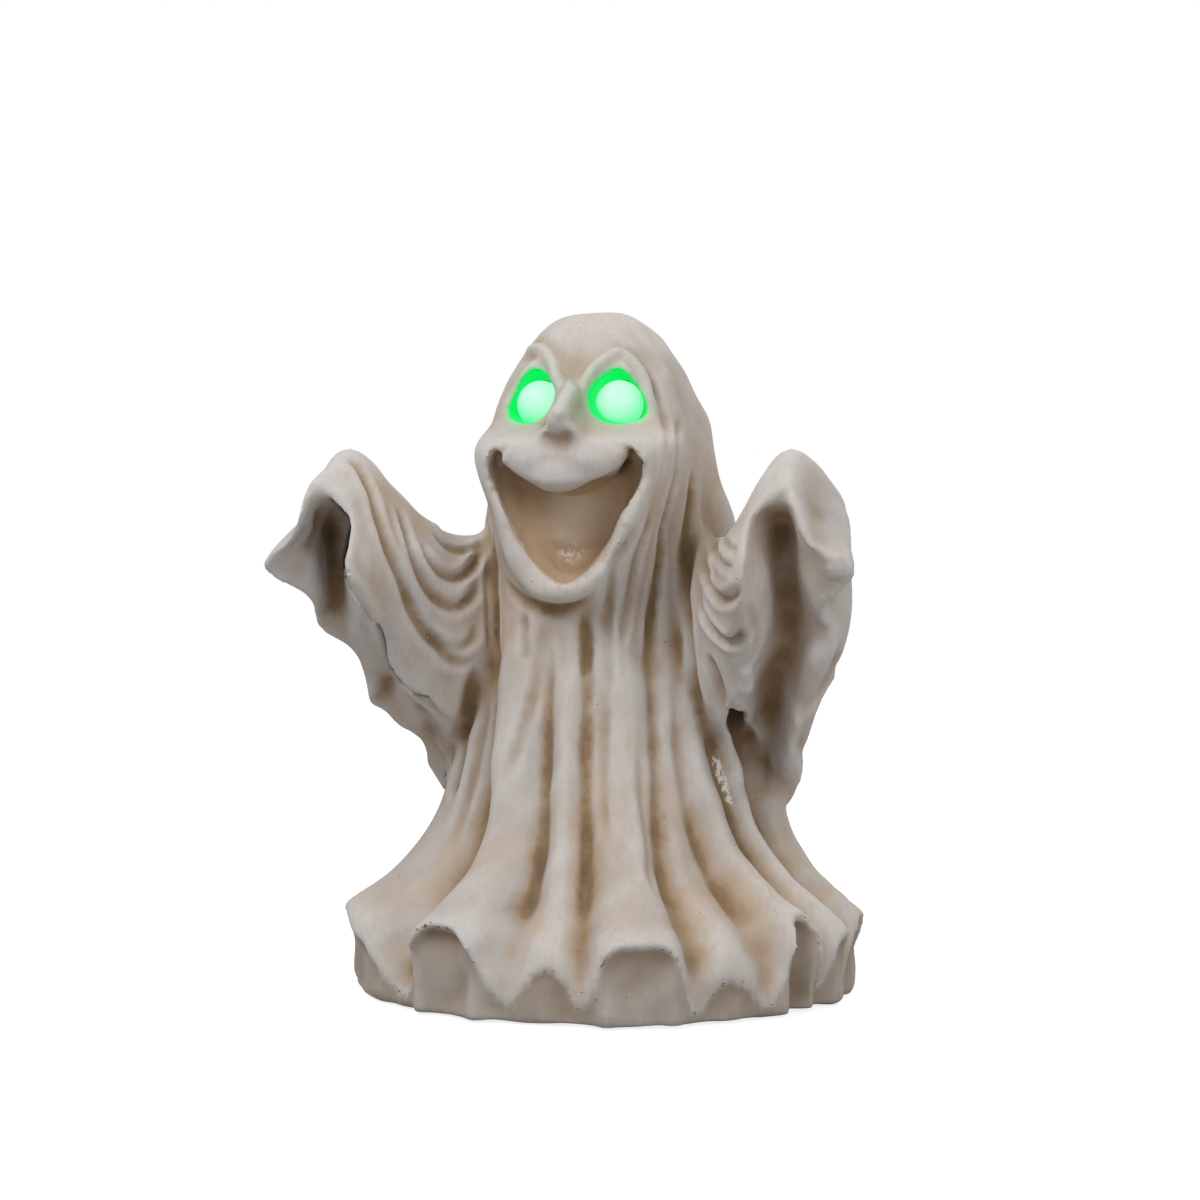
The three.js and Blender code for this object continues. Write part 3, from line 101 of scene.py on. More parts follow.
def smooth(places, values, x):
    """Smooth curve through values given at uneven places, held level past both ends."""
    places = np.asarray(places, float)
    values = np.asarray(values, float)
    slopes = np.zeros_like(values)
    slopes[..., 1:-1] = (values[..., 2:] - values[..., :-2]) / (places[2:] - places[:-2])
    x = np.clip(x, places[0], places[-1])
    i = np.clip(np.searchsorted(places, x, side="right") - 1, 0, len(places) - 2)
    gap = places[i + 1] - places[i]
    t = (x - places[i]) / gap

    def take(table, k):
        if table.ndim == 1:
            return table[k]
        return np.take_along_axis(table, k[..., None], -1)[..., 0]

    start = take(values, i)
    rise = take(values, i + 1) - start
    first = take(slopes, i) * gap
    second = take(slopes, i + 1) * gap
    square = 3 * rise - 2 * first - second
    cube = first + second - 2 * rise
    return start + first * t + square * t ** 2 + cube * t ** 3


# The robe and the head

CROWN = 408
HEAD = 63
HEM = 153
FOOT = 1
WALL = 9
HEM_INSET = 9

PROFILE = [
    [-HEAD * 0.34, 404.2], [0, 408], [HEAD * 0.34, 404.2], [HEAD * 0.58, 394], [HEAD * 0.76, 380],
    [HEAD * 0.89, 364], [HEAD * 0.965, 346], [HEAD, 326], [HEAD + 0.5, 304], [HEAD + 2, 280],
    [HEAD + 4, 255], [HEAD + 6, 230], [HEAD + 9, 205], [HEM - 76, 180], [HEM - 70, 155], [HEM - 63, 130],
    [HEM - 55, 106], [HEM - 43, 84], [HEM - 26, 64], [HEM - 6, 47], [HEM, 34], [HEM + 1, 16], [HEM, 0],
]
DEPTH = ([0, 110, 250, 350], [0.92, 0.95, 0.97, 1])
LEAN = ([220, 330], [0, 10])
FOLD_HEIGHTS = [40, 90, 150, 200, 250, 310]
VALLEY_FLARE = -3

# The folds open into round scallops between this height and so far below it.
HEM_TOP = 110
HEM_RUN = 60
HEM_BLUNT = 0.6

# Each fold: its angles and its reach at those heights, the height of the hem's lip and, on a ridge, how
# blunt it is.
FOLDS = [
    ([-72, -69, -68, -70, -72, -76], [14, 6, 2, 1, 0, 0], 49, 2.5),
    ([-35, -35, -42, -50, -58, -63], [-13, -13, -9, -5, -3, 0], 11, 0),
    ([-25, -24, -31, -36, -42, -46], [24, 6, 3, 2, 1, 0], 56, 3),
    ([-8, -7.5, -10.5, -12.5, -13, -18], [-13, -13, -9, -5, 0, 0], 14, 0),
    ([2, 0.5, -1, -2.5, -3, -4], [1, 1, 1, 0, 0, 0], 36, 2),
    ([9, 9, 7.7, 7.4, 7, 10], [-13, -12, -9, -5, 0, 0], 13, 0),
    ([22, 24, 24, 23, 23, 26], [18, 7, 3, 2, 0, 0], 50, 4),
    ([34, 32.7, 37, 38, 41, 52], [-11, -10, -6, -6, -4, -2], 10, 0),
    ([42, 39, 41.5, 46, 50, 59], [2, -3, -1, 1, 1, 0], 28, 2),
    ([53, 50, 47, 51, 56, 64], [-12, -9, -2, 0.5, 0, 0], 11, 0),
    ([63, 59.5, 54, 55, 60, 68], [25, 7, 4, 2, 1, 0], 59, 2),
    ([71, 71, 67, 66, 65, 73], [-11, -11, -8, -7, -5, -2], 14, 0),
    ([78, 78, 78, 76, 76, 80], [13, 4, 2, 1, 1, 0], 44, 2),
    ([85, 85, 86, 86, 88, 90], [-9, -8, -6, -4, -2, 0], 14, 0),
    ([94, 97, 98, 98, 98, 99], [14, 13, 20, 4, 1, 0], 48, 2.5),
    ([106, 106, 107, 108, 108, 108], [-10, -9, -7, -4, -2, 0], 12, 0),
    ([119, 119, 119, 119, 118, 118], [11, 5, 3, 2, 1, 0], 43, 2.5),
    ([132, 132, 131, 131, 130, 130], [-10, -9, -7, -4, -2, 0], 11, 0),
    ([146, 146, 145, 144, 144, 144], [9, 4, 3, 2, 1, 0], 40, 2.5),
    ([161, 161, 160, 158, 157, 157], [-9, -7, -5, -4, -2, 0], 10, 0),
    ([178, 178, 177, 176, 176, 176], [4, 3, 2, 2, 1, 0], 36, 2.5),
    ([195, 195, 196, 196, 196, 196], [-9, -7, -5, -4, -2, 0], 10, 0),
    ([210, 210, 210, 211, 211, 211], [9, 4, 3, 2, 1, 0], 42, 2.5),
    ([225, 225, 226, 226, 227, 227], [-10, -9, -7, -4, -2, 0], 11, 0),
    ([240, 240, 240, 241, 241, 241], [12, 5, 3, 2, 1, 0], 46, 2.5),
    ([253, 253, 253, 252, 252, 252], [-10, -9, -6, -4, -2, 0], 12, 0),
    ([265, 265, 265, 264, 264, 264], [13, 5, 3, 2, 1, 0], 44, 2),
    ([277, 277, 277, 275, 274, 273], [-7, -6, -4, -3, -1, 0], 14, 0),
]

SHOULDER = {
    "angle": 112,
    "spread": 22,
    "heights": [160, 200, 240, 270, 287, 308, 326, 345, 368],
    "out": [0, 7, 15, 18, 17, 11, 8, 5, 0],
}
MUZZLE_ANGLES = [0, 10, 20, 30, 40, 50, 60, 75, 90]
MUZZLE_HEIGHTS = [
    228, 234, 240, 246, 253, 261, 271, 285, 300, 310, 320, 328, 333, 338, 343, 352, 360, 370, 382,
]
MUZZLE = [
    [0, 0, 0, 0, 0, 0, 0, 0, 0],
    [2, 1, 0, 0, 0, 0, 0, 0, 0],
    [12, 10, 4, 1, 0, 0, 0, 0, 0],
    [16, 15, 9, 3, 1, 0, 0, 0, 0],
    [17, 17, 14, 7, 3, 0, 0, 0, 0],
    [18, 18, 18, 12, 5, 1, 0, 0, 0],
    [18, 19, 20, 17, 9, 3, 0, 0, 0],
    [19, 20, 23, 22, 14, 6, 1, 0, 0],
    [20, 22, 25, 26, 19, 11, 4, 0, 0],
    [21, 23, 27, 28, 23, 13, 5, 1, 0],
    [25, 27, 30, 30, 25, 16, 7, 1, 0],
    [26, 28, 30, 28, 24, 17, 9, 2, 0],
    [24, 25, 25, 22, 19, 15, 9, 2, 0],
    [19, 17, 14, 11, 11, 10, 6, 1, 0],
    [15, 11, 4, 2, 4, 6, 4, 1, 0],
    [9, 6, 1, 0, 2, 3, 2, 0, 0],
    [6, 5, 3, 1, 1, 1, 0, 0, 0],
    [2, 3, 4, 4, 2, 0, 0, 0, 0],
    [0, 0, 1, 2, 1, 0, 0, 0, 0],
]

BALL = 14
EYE_ACROSS = 24
EYE_FORWARD = 52
EYE_HEIGHT = 352.4


def by_eye(points):
    """Points of [across, up] in the ball's radii from an eye's middle, as points of the face."""
    return np.array(points) * BALL + [EYE_ACROSS, EYE_HEIGHT]


BROW = by_eye([
    [-1.43, 0.54], [-1, 1.19], [-0.5, 1.83], [0.07, 2.11], [0.57, 1.83], [1.07, 0.97], [1.57, -0.03],
])
BROW_OUT = 4
BROW_WIDE = 4.5

profile_curve = along(PROFILE, np.linspace(1 / (len(PROFILE) - 1), 1, 4000))


def robe_radius(z):
    return np.interp(-z, -profile_curve[:, 1], profile_curve[:, 0])


def distance_to(line, points):
    """Least distance from points to a line of straight runs."""
    best = np.full(points.shape[:-1], np.inf)
    for start, end in zip(line[:-1], line[1:]):
        step = end - start
        share = np.clip(((points - start) @ step) / (step @ step), 0, 1)
        best = np.minimum(best, np.linalg.norm(points - start - share[..., None] * step, axis=-1))
    return best


def fold_point(column, z):
    """Angle, reach and lip height at columns of (fold, share) for heights of the same shape."""
    index, share = column
    angle = np.zeros(z.shape)
    reach = np.zeros(z.shape)
    lip = np.zeros(z.shape)
    for k, (at, out, low_lip, blunt) in enumerate(FOLDS):
        mine = index == k
        if not mine.any():
            continue
        next_at, next_out, next_lip, next_blunt = FOLDS[(k + 1) % len(FOLDS)]
        whole = 360 if k + 1 == len(FOLDS) else 0
        t = share[mine]
        h = z[mine]
        power = blunt or next_blunt
        from_ridge = t if blunt else 1 - t
        sunk = 0.5 * from_ridge ** power + 0.25 * (1 - np.cos(np.pi * from_ridge))
        waved = 0.5 * (1 - np.cos(np.pi * from_ridge ** (HEM_BLUNT * power)))
        sunk += (waved - sunk) * ramp(h, HEM_TOP, HEM_TOP - HEM_RUN)
        ridge_out, valley_out = (out, next_out) if blunt else (next_out, out)
        ridge_lip, valley_lip = (low_lip, next_lip) if blunt else (next_lip, low_lip)
        start = smooth(FOLD_HEIGHTS, at, h)
        end = smooth(FOLD_HEIGHTS, next_at, h) + whole
        flare = ramp(h, FOLD_HEIGHTS[0], valley_lip)
        high = smooth(FOLD_HEIGHTS, ridge_out, h)
        low = smooth(FOLD_HEIGHTS, valley_out, h) * (1 - flare) + VALLEY_FLARE * flare
        angle[mine] = start + (end - start) * t
        reach[mine] = high + (low - high) * sunk
        lip[mine] = ridge_lip + (valley_lip - ridge_lip) * waved
    return angle, reach, lip


def body_reach(angle, z):
    """How far the face, the brows and the shoulders stand out of the robe's round form."""
    side = np.abs(np.where(angle > 180, angle - 360, angle))
    table = np.array(MUZZLE, float).T
    by_angle = np.stack([smooth(MUZZLE_HEIGHTS, row, z) for row in table], -1)
    face = smooth(MUZZLE_ANGLES, by_angle, side)
    across = (HEAD + face) * np.sin(np.radians(side))
    near = distance_to(BROW, np.stack([across, z], -1))
    ridge = np.where(side < 90, BROW_OUT * hill(near, 0, BROW_WIDE), 0)
    rise = smooth(SHOULDER["heights"], SHOULDER["out"], z)
    return face + ridge + rise * hill(side, SHOULDER["angle"], SHOULDER["spread"])


def robe_point(column, z):
    """Points of the robe at columns of (fold, share) for heights of the same shape."""
    angle, reach, _ = fold_point(column, z)
    radius = robe_radius(z) + reach + body_reach(angle, z)
    round_angle = np.radians(angle)
    forward = radius * np.cos(round_angle) * smooth(*DEPTH, z) + smooth(*LEAN, z)
    return np.stack([radius * np.sin(round_angle), -forward, z], -1)


# Meshes

def piece(name, points, faces):
    """A new object from points in millimetres."""
    mesh = bpy.data.meshes.new(name)
    mesh.from_pydata((np.asarray(points, float) * MM).tolist(), [], [tuple(face) for face in faces])
    made = bpy.data.objects.new(name, mesh)
    bpy.context.scene.collection.objects.link(made)
    return made


def worked(made, kind, **settings):
    """The object with one modifier applied to its mesh."""
    step = made.modifiers.new("step", kind)
    for key, value in settings.items():
        setattr(step, key, value)
    bpy.context.view_layer.update()
    graph = bpy.context.evaluated_depsgraph_get()
    mesh = bpy.data.meshes.new_from_object(made.evaluated_get(graph))
    made.modifiers.clear()
    old = made.data
    made.data = mesh
    bpy.data.meshes.remove(old)


def corners(mesh):
    flat = np.empty(len(mesh.vertices) * 3)
    mesh.vertices.foreach_get("co", flat)
    return flat.reshape(-1, 3) / MM


def put(mesh, points):
    mesh.vertices.foreach_set("co", (points * MM).ravel())
    mesh.update()


def normals(mesh):
    flat = np.empty(len(mesh.vertices) * 3)
    mesh.vertex_normals.foreach_get("vector", flat)
    return flat.reshape(-1, 3)


def dropped(*made):
    for each in made:
        mesh = each.data
        bpy.data.objects.remove(each)
        bpy.data.meshes.remove(mesh)


def walls(rings, first=0):
    """Faces between rings of points that follow one another, from the number of the first point on."""
    count = len(rings[0])
    k = np.arange(count)
    after = (k + 1) % count
    faces = []
    for ring in range(len(rings) - 1):
        here = first + ring * count
        there = here + count
        faces += list(zip(here + k, there + k, there + after, here + after))
    return faces


def tube(rings, first, last):
    """Points and faces of rings joined into one closed skin, with a point at each end."""
    rings = np.asarray(rings, float)
    count = rings.shape[1]
    points = np.concatenate([[first], rings.reshape(-1, 3), [last]])
    k = np.arange(count)
    after = (k + 1) % count
    faces = [(0, 1 + a, 1 + b) for a, b in zip(k, after)] + walls(rings, 1)
    end = 1 + (len(rings) - 1) * count
    faces += [(end + a, len(points) - 1, end + b) for a, b in zip(k, after)]
    return points, faces


COLUMNS_PER_DEGREE = 1.15
FEWEST_COLUMNS = 8


def fold_columns():
    """The fold that each column of the robe lies on, and its share of the way to the next."""
    columns = []
    for k, (at, _, _, _) in enumerate(FOLDS):
        whole = 360 if k + 1 == len(FOLDS) else 0
        gap = max(b + whole - a for a, b in zip(at, FOLDS[(k + 1) % len(FOLDS)][0]))
        count = max(FEWEST_COLUMNS, round(gap * COLUMNS_PER_DEGREE))
        columns += [(k, step / count) for step in range(count)]
    return np.array([k for k, _ in columns]), np.array([s for _, s in columns])


SKIRT_IN = 45
SKIRT_FADE = 10


def below_lip(points):
    """How far points lie below the hem's lip, and a share that fades out away from the robe's outside."""
    index, share = fold_columns()
    angles, _, lips = fold_point((index, share), np.full(index.shape, float(FOLD_HEIGHTS[0])))
    around = np.degrees(np.arctan2(points[:, 0], -points[:, 1] / DEPTH[1][0]))
    lip = np.interp(around, angles, lips, period=360)
    outside = ramp(np.hypot(points[:, 0], points[:, 1]), HEM - SKIRT_IN, HEM - SKIRT_IN + SKIRT_FADE)
    return lip - points[:, 2], outside * (points[:, 2] < HEM_TOP)


# The robe's rows: even heights from the crown down, then rows that follow the hem's lip, whose edge is
# rounded and passes into an upright skirting.
ROBE_TOP = [407.6, 406.4, 404.5, 402]
ROW = 2.5
ROBE_LOWEST = 78
HEM_ROWS = 22
LIP_EDGE = 2.5
LIP_THICKNESS = 4
LIP_ROUNDING = 0.6
FLOOR_RINGS = 3


def robe():
    """Points and faces of the robe and head."""
    index, share = fold_columns()

    def ring(z):
        return robe_point((index, share), np.broadcast_to(z, index.shape).astype(float))

    levels = [*ROBE_TOP, *np.arange(ROBE_TOP[-1] - ROW, ROBE_LOWEST, -ROW), ROBE_LOWEST]
    rings = [ring(z) for z in levels]
    _, _, lips = fold_point((index, share), np.full(index.shape, float(FOLD_HEIGHTS[0])))
    for row in range(1, HEM_ROWS + 1):
        rings.append(ring(ROBE_LOWEST + (lips - ROBE_LOWEST) * row / HEM_ROWS))
    lip_ring = rings[-1]
    radius = np.hypot(lip_ring[:, 0], lip_ring[:, 1])
    inset = HEM_INSET * np.clip(lips / lips.max(), 0.2, 1)

    def skirting(z, depth):
        inward = ((radius - depth) / radius)[:, None]
        return np.concatenate([lip_ring[:, :2] * inward, np.broadcast_to(z, radius.shape)[:, None]], 1)

    under = lips - LIP_THICKNESS
    rings.append(skirting(lips - LIP_EDGE, LIP_ROUNDING))
    rings.append(skirting(under, inset * LIP_ROUNDING))
    rings.append(skirting(under, inset))
    for share_down in (0.25, 0.5, 0.75):
        rings.append(skirting(under * (1 - share_down) + FOOT * share_down, inset))
    rings.append(skirting(FOOT + 2, inset))
    rings.append(skirting(FOOT, inset + 1))
    for _ in range(FLOOR_RINGS):
        rings.append(rings[-1] * [0.8, 0.8, 1])
    return tube(rings, [0, -LEAN[1][1], CROWN], [0, 0, FOOT])


ARM_ANGLE = 57
SLEEVE_ROOT = [
    [70, 28, 112], [62, 12, 150], [58, 4, 180], [56, 2, 210], [56, 2, 235], [58, 4, 256], [60, 14, 274],
    [58, 26, 266], [54, 36, 242], [52, 42, 210], [52, 48, 178], [54, 56, 145], [56, 64, 110],
]
SLEEVE_SHOULDER = [
    [80, 34, 112], [76, 16, 150], [80, 2, 178], [84, -6, 208], [90, -8, 236], [98, -4, 262],
    [106, 12, 283], [104, 34, 276], [96, 50, 250], [92, 58, 215], [86, 62, 180], [76, 68, 145],
    [66, 74, 108],
]
SLEEVE_HAND = [
    [84, 36, 112], [86, 22, 150], [104, 2, 172], [118, -14, 200], [132, -30, 232], [147, -38, 274],
    [152, -2, 324], [151, 36, 312], [147, 56, 280], [140, 68, 235], [124, 66, 195], [100, 76, 155],
    [72, 84, 112],
]
SLEEVE_HEM = [
    [83, 33, 118], [86, 28, 138], [90, 22, 154], [99, 8, 168], [114, 0, 177], [128, -7, 187],
    [137, -10, 202], [143, -20, 218], [158, -38, 234], [167, -50, 248], [170, -51, 266], [166, -42, 288],
    [184, -30, 307], [192, -28, 296], [200, -25, 274], [210, 0, 257], [184, 0, 236], [170, 26, 219],
    [146, 55, 204], [131, 57, 188], [138, 42, 174], [125, 49, 163], [113, 54, 154], [84, 74, 142],
    [76, 82, 120],
]
SLEEVE_LINES = [SLEEVE_ROOT, SLEEVE_SHOULDER, SLEEVE_HAND, SLEEVE_HEM]
SLEEVE_THICKNESS = (8, 5)
SLEEVE_ACROSS = 150
SLEEVE_OUT = 48
SLOPE_STEPS = 4


def sleeve(side):
    """Points and faces of one sleeve, closed between its outside and its lining."""
    u = np.linspace(0, 1, SLEEVE_ACROSS + 1)
    v = np.linspace(0, 1, SLEEVE_OUT + 1)
    lines = np.stack([along(line, u) for line in SLEEVE_LINES])
    grid = along(lines.reshape(len(SLEEVE_LINES), -1), v).reshape(len(v), len(u), 3)
    round_arm = math.radians(ARM_ANGLE)
    far, back, height = grid[..., 0], grid[..., 1], grid[..., 2]
    outside = np.stack([
        side * (far * math.sin(round_arm) + back * math.cos(round_arm)),
        -far * math.cos(round_arm) + back * math.sin(round_arm),
        height,
    ], -1)

    def stepped(axis):
        last = outside.shape[axis] - 1
        here = np.arange(last + 1)
        later = outside.take(np.minimum(here + SLOPE_STEPS, last), axis)
        return later - outside.take(np.maximum(here - SLOPE_STEPS, 0), axis)

    inward = np.cross(stepped(1), stepped(0)) * side
    inward /= np.linalg.norm(inward, axis=-1, keepdims=True)
    root, hem = SLEEVE_THICKNESS
    depth = (root + (hem - root) * v)[:, None, None]
    lining = (outside + inward * depth)[:, ::-1]
    rings = np.concatenate([outside, lining], 1)
    count = rings.shape[1]
    faces = walls(rings)
    end = (len(rings) - 1) * count
    for j in range(count // 2 - 1):
        other = count - 1 - j
        faces.append((j, j + 1, other - 1, other))
        faces.append((end + j, end + other, end + other - 1, end + j + 1))
    if side < 0:
        faces = [face[::-1] for face in faces]
    return rings.reshape(-1, 3), faces


def between(outlines):
    """A closed skin between outlines of [x, y, z] of the same count, one behind the other."""
    count = len(outlines[0])
    points = np.concatenate(outlines)
    faces = [tuple(range(count)), tuple(range(len(points) - 1, len(points) - 1 - count, -1))]
    for ring in range(len(outlines) - 1):
        for k in range(count):
            after = (k + 1) % count
            here = ring * count
            faces.append((here + after, here + k, here + count + k, here + count + after))
    return points, faces


# The casting: its sculpted outside. Forward distances are from the figure's axis. The mouth ends at THROAT,
# and the hollow of the casting keeps behind MOUTH_BACK.

MOUTH_EDGE = [
    [0, 246.9], [12, 250.4], [20.9, 259.6], [28, 271], [35, 286], [42, 301.5], [46, 311.5], [45.5, 320],
    [42, 326.5], [37.5, 326], [35.5, 318], [28.3, 311.5], [10.4, 307.3], [0, 306.5],
]
MOUTH_MIDDLE = 283
MOUTH_BACK = 45
THROAT = 58
LIPS_BACK = 82
MOUTH_TAPER = (0.72, 0.85)
SOCKET_EDGE = by_eye([
    [0.02, 1.61], [0.5, 1.36], [0.96, 0.69], [1.29, -0.03], [1.35, -0.53], [0.81, -0.77], [0.26, -0.86],
    [-0.29, -0.77], [-0.82, -0.39], [-1.02, 0.26], [-0.93, 0.72], [-0.61, 1.22],
])
SOCKET_TAPER = 0.9
SOCKET_DEPTH = 6
OUTSIDE = 130


def rounded(outline, times):
    """A closed outline with its corners cut again and again."""
    outline = np.asarray(outline, float)
    for _ in range(times):
        after = np.roll(outline, -1, axis=0)
        outline = np.stack([0.75 * outline + 0.25 * after, 0.25 * outline + 0.75 * after], 1).reshape(-1, 2)
    return outline


def closed(outline):
    """An outline with its first point once more at its end."""
    return np.concatenate([outline, outline[:1]]).astype(float)


MOUTH_LOOP = rounded(MOUTH_EDGE + [[-x, z] for x, z in MOUTH_EDGE[1:-1][::-1]], 1)
SOCKET_LOOP = rounded(SOCKET_EDGE, 1)


def mouth_hollow():
    """The hollow of the mouth, as a closed skin that narrows inward."""
    def outline(forward, across, high):
        x = MOUTH_LOOP[:, 0] * across
        z = MOUTH_MIDDLE + (MOUTH_LOOP[:, 1] - MOUTH_MIDDLE) * high
        return np.stack([x, np.full(len(x), -forward), z], -1)

    across, high = MOUTH_TAPER
    return between([outline(OUTSIDE, 1, 1), outline(LIPS_BACK, 1, 1), outline(THROAT, across, high)])


def socket_hollow(side):
    """The hollow round one eye, as a closed skin."""
    middle = np.array([EYE_ACROSS, EYE_HEIGHT])

    def outline(forward, taper):
        flat = middle + (SOCKET_LOOP - middle) * taper
        return np.stack([side * flat[:, 0], np.full(len(flat), -forward), flat[:, 1]], -1)

    points, faces = between([outline(OUTSIDE, 1), outline(EYE_FORWARD - SOCKET_DEPTH, SOCKET_TAPER)])
    return points, [face[::-1] for face in faces] if side > 0 else faces


def nose():
    """Points and faces of the nose: its tip, its wings and its root."""
    points = [
        [0, -109, 350], [12, -103, 334], [-12, -103, 334], [17, -66, 333], [-17, -66, 333], [0, -72, 371],
        [9, -66, 357], [-9, -66, 357],
    ]
    faces = [
        [0, 2, 1], [1, 2, 4], [1, 4, 3], [0, 1, 6], [1, 3, 6], [0, 7, 2], [2, 7, 4], [0, 6, 5], [0, 5, 7],
        [5, 6, 3], [5, 3, 4], [5, 4, 7],
    ]
    return points, faces


def block(x, y, z):
    """Points and faces of a block between pairs of values."""
    points = [[a, b, c] for c in z for b in y for a in x]
    faces = [(0, 2, 3, 1), (4, 5, 7, 6), (0, 1, 5, 4), (2, 6, 7, 3), (0, 4, 6, 2), (1, 3, 7, 5)]
    return points, faces


def bar(radius, z, x=0, y=0, sides=32):
    """Points and faces of a round bar along Z."""
    k = np.linspace(0, 2 * np.pi, sides, endpoint=False)
    rings = [[[x + radius * math.cos(a), y + radius * math.sin(a), height] for a in k] for height in z]
    points = np.concatenate(rings)
    faces = [tuple(range(sides - 1, -1, -1)), tuple(range(sides, 2 * sides))]
    faces += [(i, (i + 1) % sides, sides + (i + 1) % sides, sides + i) for i in range(sides)]
    return points, faces


# The battery box's frame: local +Z points out of the back, +Y up along the pad and +X to the figure's right.
PAD_HEIGHT = 135
PAD_PROUD = 4
PAD_TILT = 19
PAD_HALF = 37
PAD_RUN = (-48.5, 48)
PAD_DEPTH = 42
BOSS_PROUD = 2
TOOL_REACH = 60
BOX_HOLE_HALF = 25.5
BOX_HOLE = (-39.8, 39.3)
BOSS_HOLE = (4.1, 29.5, 7.5, -5.7)
BOX_SCREWS = [(-30, 41), (30, 41), (-30, -41.5), (30, -41.5)]
BOX_SCREW_HOLE = (1.4, -10.3)

plain_back = robe_radius(PAD_HEIGHT) * smooth(*DEPTH, np.array(float(PAD_HEIGHT)))
pad_turn = math.radians(PAD_TILT - 90)
on_pad = np.array([
    [-1, 0, 0],
    [0, -math.cos(pad_turn), -math.sin(pad_turn)],
    [0, -math.sin(pad_turn), math.cos(pad_turn)],
])
pad_place = np.array([0, plain_back + PAD_PROUD, PAD_HEIGHT])


def from_pad(shape):
    """A shape given in the pad's frame, in the figure's."""
    points, faces = shape
    return np.asarray(points, float) @ on_pad.T + pad_place, faces


def united(name, shapes):
    """One object that holds several closed skins."""
    points = []
    faces = []
    for part_points, part_faces in shapes:
        faces += [tuple(int(k) + len(points) for k in face) for face in part_faces]
        points += np.asarray(part_points, float).tolist()
    return piece(name, points, faces)


def cut(made, shapes):
    """Closed skins taken away from the object, one after the other."""
    for shape in shapes:
        tool = piece("tool", *shape)
        worked(made, "BOOLEAN", operation="DIFFERENCE", solver="MANIFOLD", object=tool)
        dropped(tool)


VOXEL = 2.0
boss = from_pad(block((-PAD_HALF, PAD_HALF), PAD_RUN, (-PAD_DEPTH, BOSS_PROUD)))
shell = united("ghost_casting", [robe(), sleeve(1), sleeve(-1), nose(), boss])
worked(shell, "REMESH", mode="VOXEL", voxel_size=VOXEL * MM)
cut(shell, [mouth_hollow(), socket_hollow(1), socket_hollow(-1)])
worked(shell, "REMESH", mode="VOXEL", voxel_size=VOXEL * MM)


def edge_pairs(mesh):
    pairs = np.empty(len(mesh.edges) * 2, np.int32)
    mesh.edges.foreach_get("vertices", pairs)
    return pairs.reshape(-1, 2)


def averaged(values, pairs, times, share=1.0):
    """Values at the corners, each drawn towards the mean of its neighbours a number of times."""
    count = len(values)
    first, second = pairs[:, 0], pairs[:, 1]
    degree = np.bincount(first, minlength=count) + np.bincount(second, minlength=count)
    degree = np.maximum(degree, 1)[:, None]
    flat = values.reshape(count, -1)
    for _ in range(times):
        total = np.stack([
            np.bincount(first, flat[second, k], count) + np.bincount(second, flat[first, k], count)
            for k in range(flat.shape[1])
        ], -1)
        flat = flat + share * (total / degree - flat)
    return flat.reshape(values.shape)


SMOOTH_IN = 0.6
SMOOTH_OUT = -0.35


def softened(made, times, keep=None):
    """Corners smoothed without shrinking the form. Keep is a share, at each corner, of its old place."""
    mesh = made.data
    pairs = edge_pairs(mesh)
    points = corners(mesh)
    start = points
    for _ in range(times):
        points = averaged(points, pairs, 1, SMOOTH_IN)
        points = averaged(points, pairs, 1, SMOOTH_OUT)
    if keep is not None:
        points = points + (start - points) * keep[:, None]
    put(mesh, points)


def tree_of(made):
    return BVHTree.FromObject(made, bpy.context.evaluated_depsgraph_get())


def within(outline, flat):
    """Which flat points lie inside a closed outline."""
    inside = np.zeros(len(flat), bool)
    for a, b in zip(outline, np.roll(outline, -1, axis=0)):
        crosses = (a[1] > flat[:, 1]) != (b[1] > flat[:, 1])
        rise = b[1] - a[1] if b[1] != a[1] else 1e-9
        inside ^= crosses & (flat[:, 0] < a[0] + (flat[:, 1] - a[1]) * (b[0] - a[0]) / rise)
    return inside


def in_picture(points):
    """Where points are seen in the picture, and how far they stand from the aim towards the camera."""
    off = points - camera_place
    depth = off @ camera_back
    flat = np.stack([
        PICTURE / 2 + FOCAL * (off @ camera_right) / -depth,
        PICTURE / 2 - FOCAL * (off @ camera_up) / -depth,
    ], -1)
    return flat, depth + DISTANCE


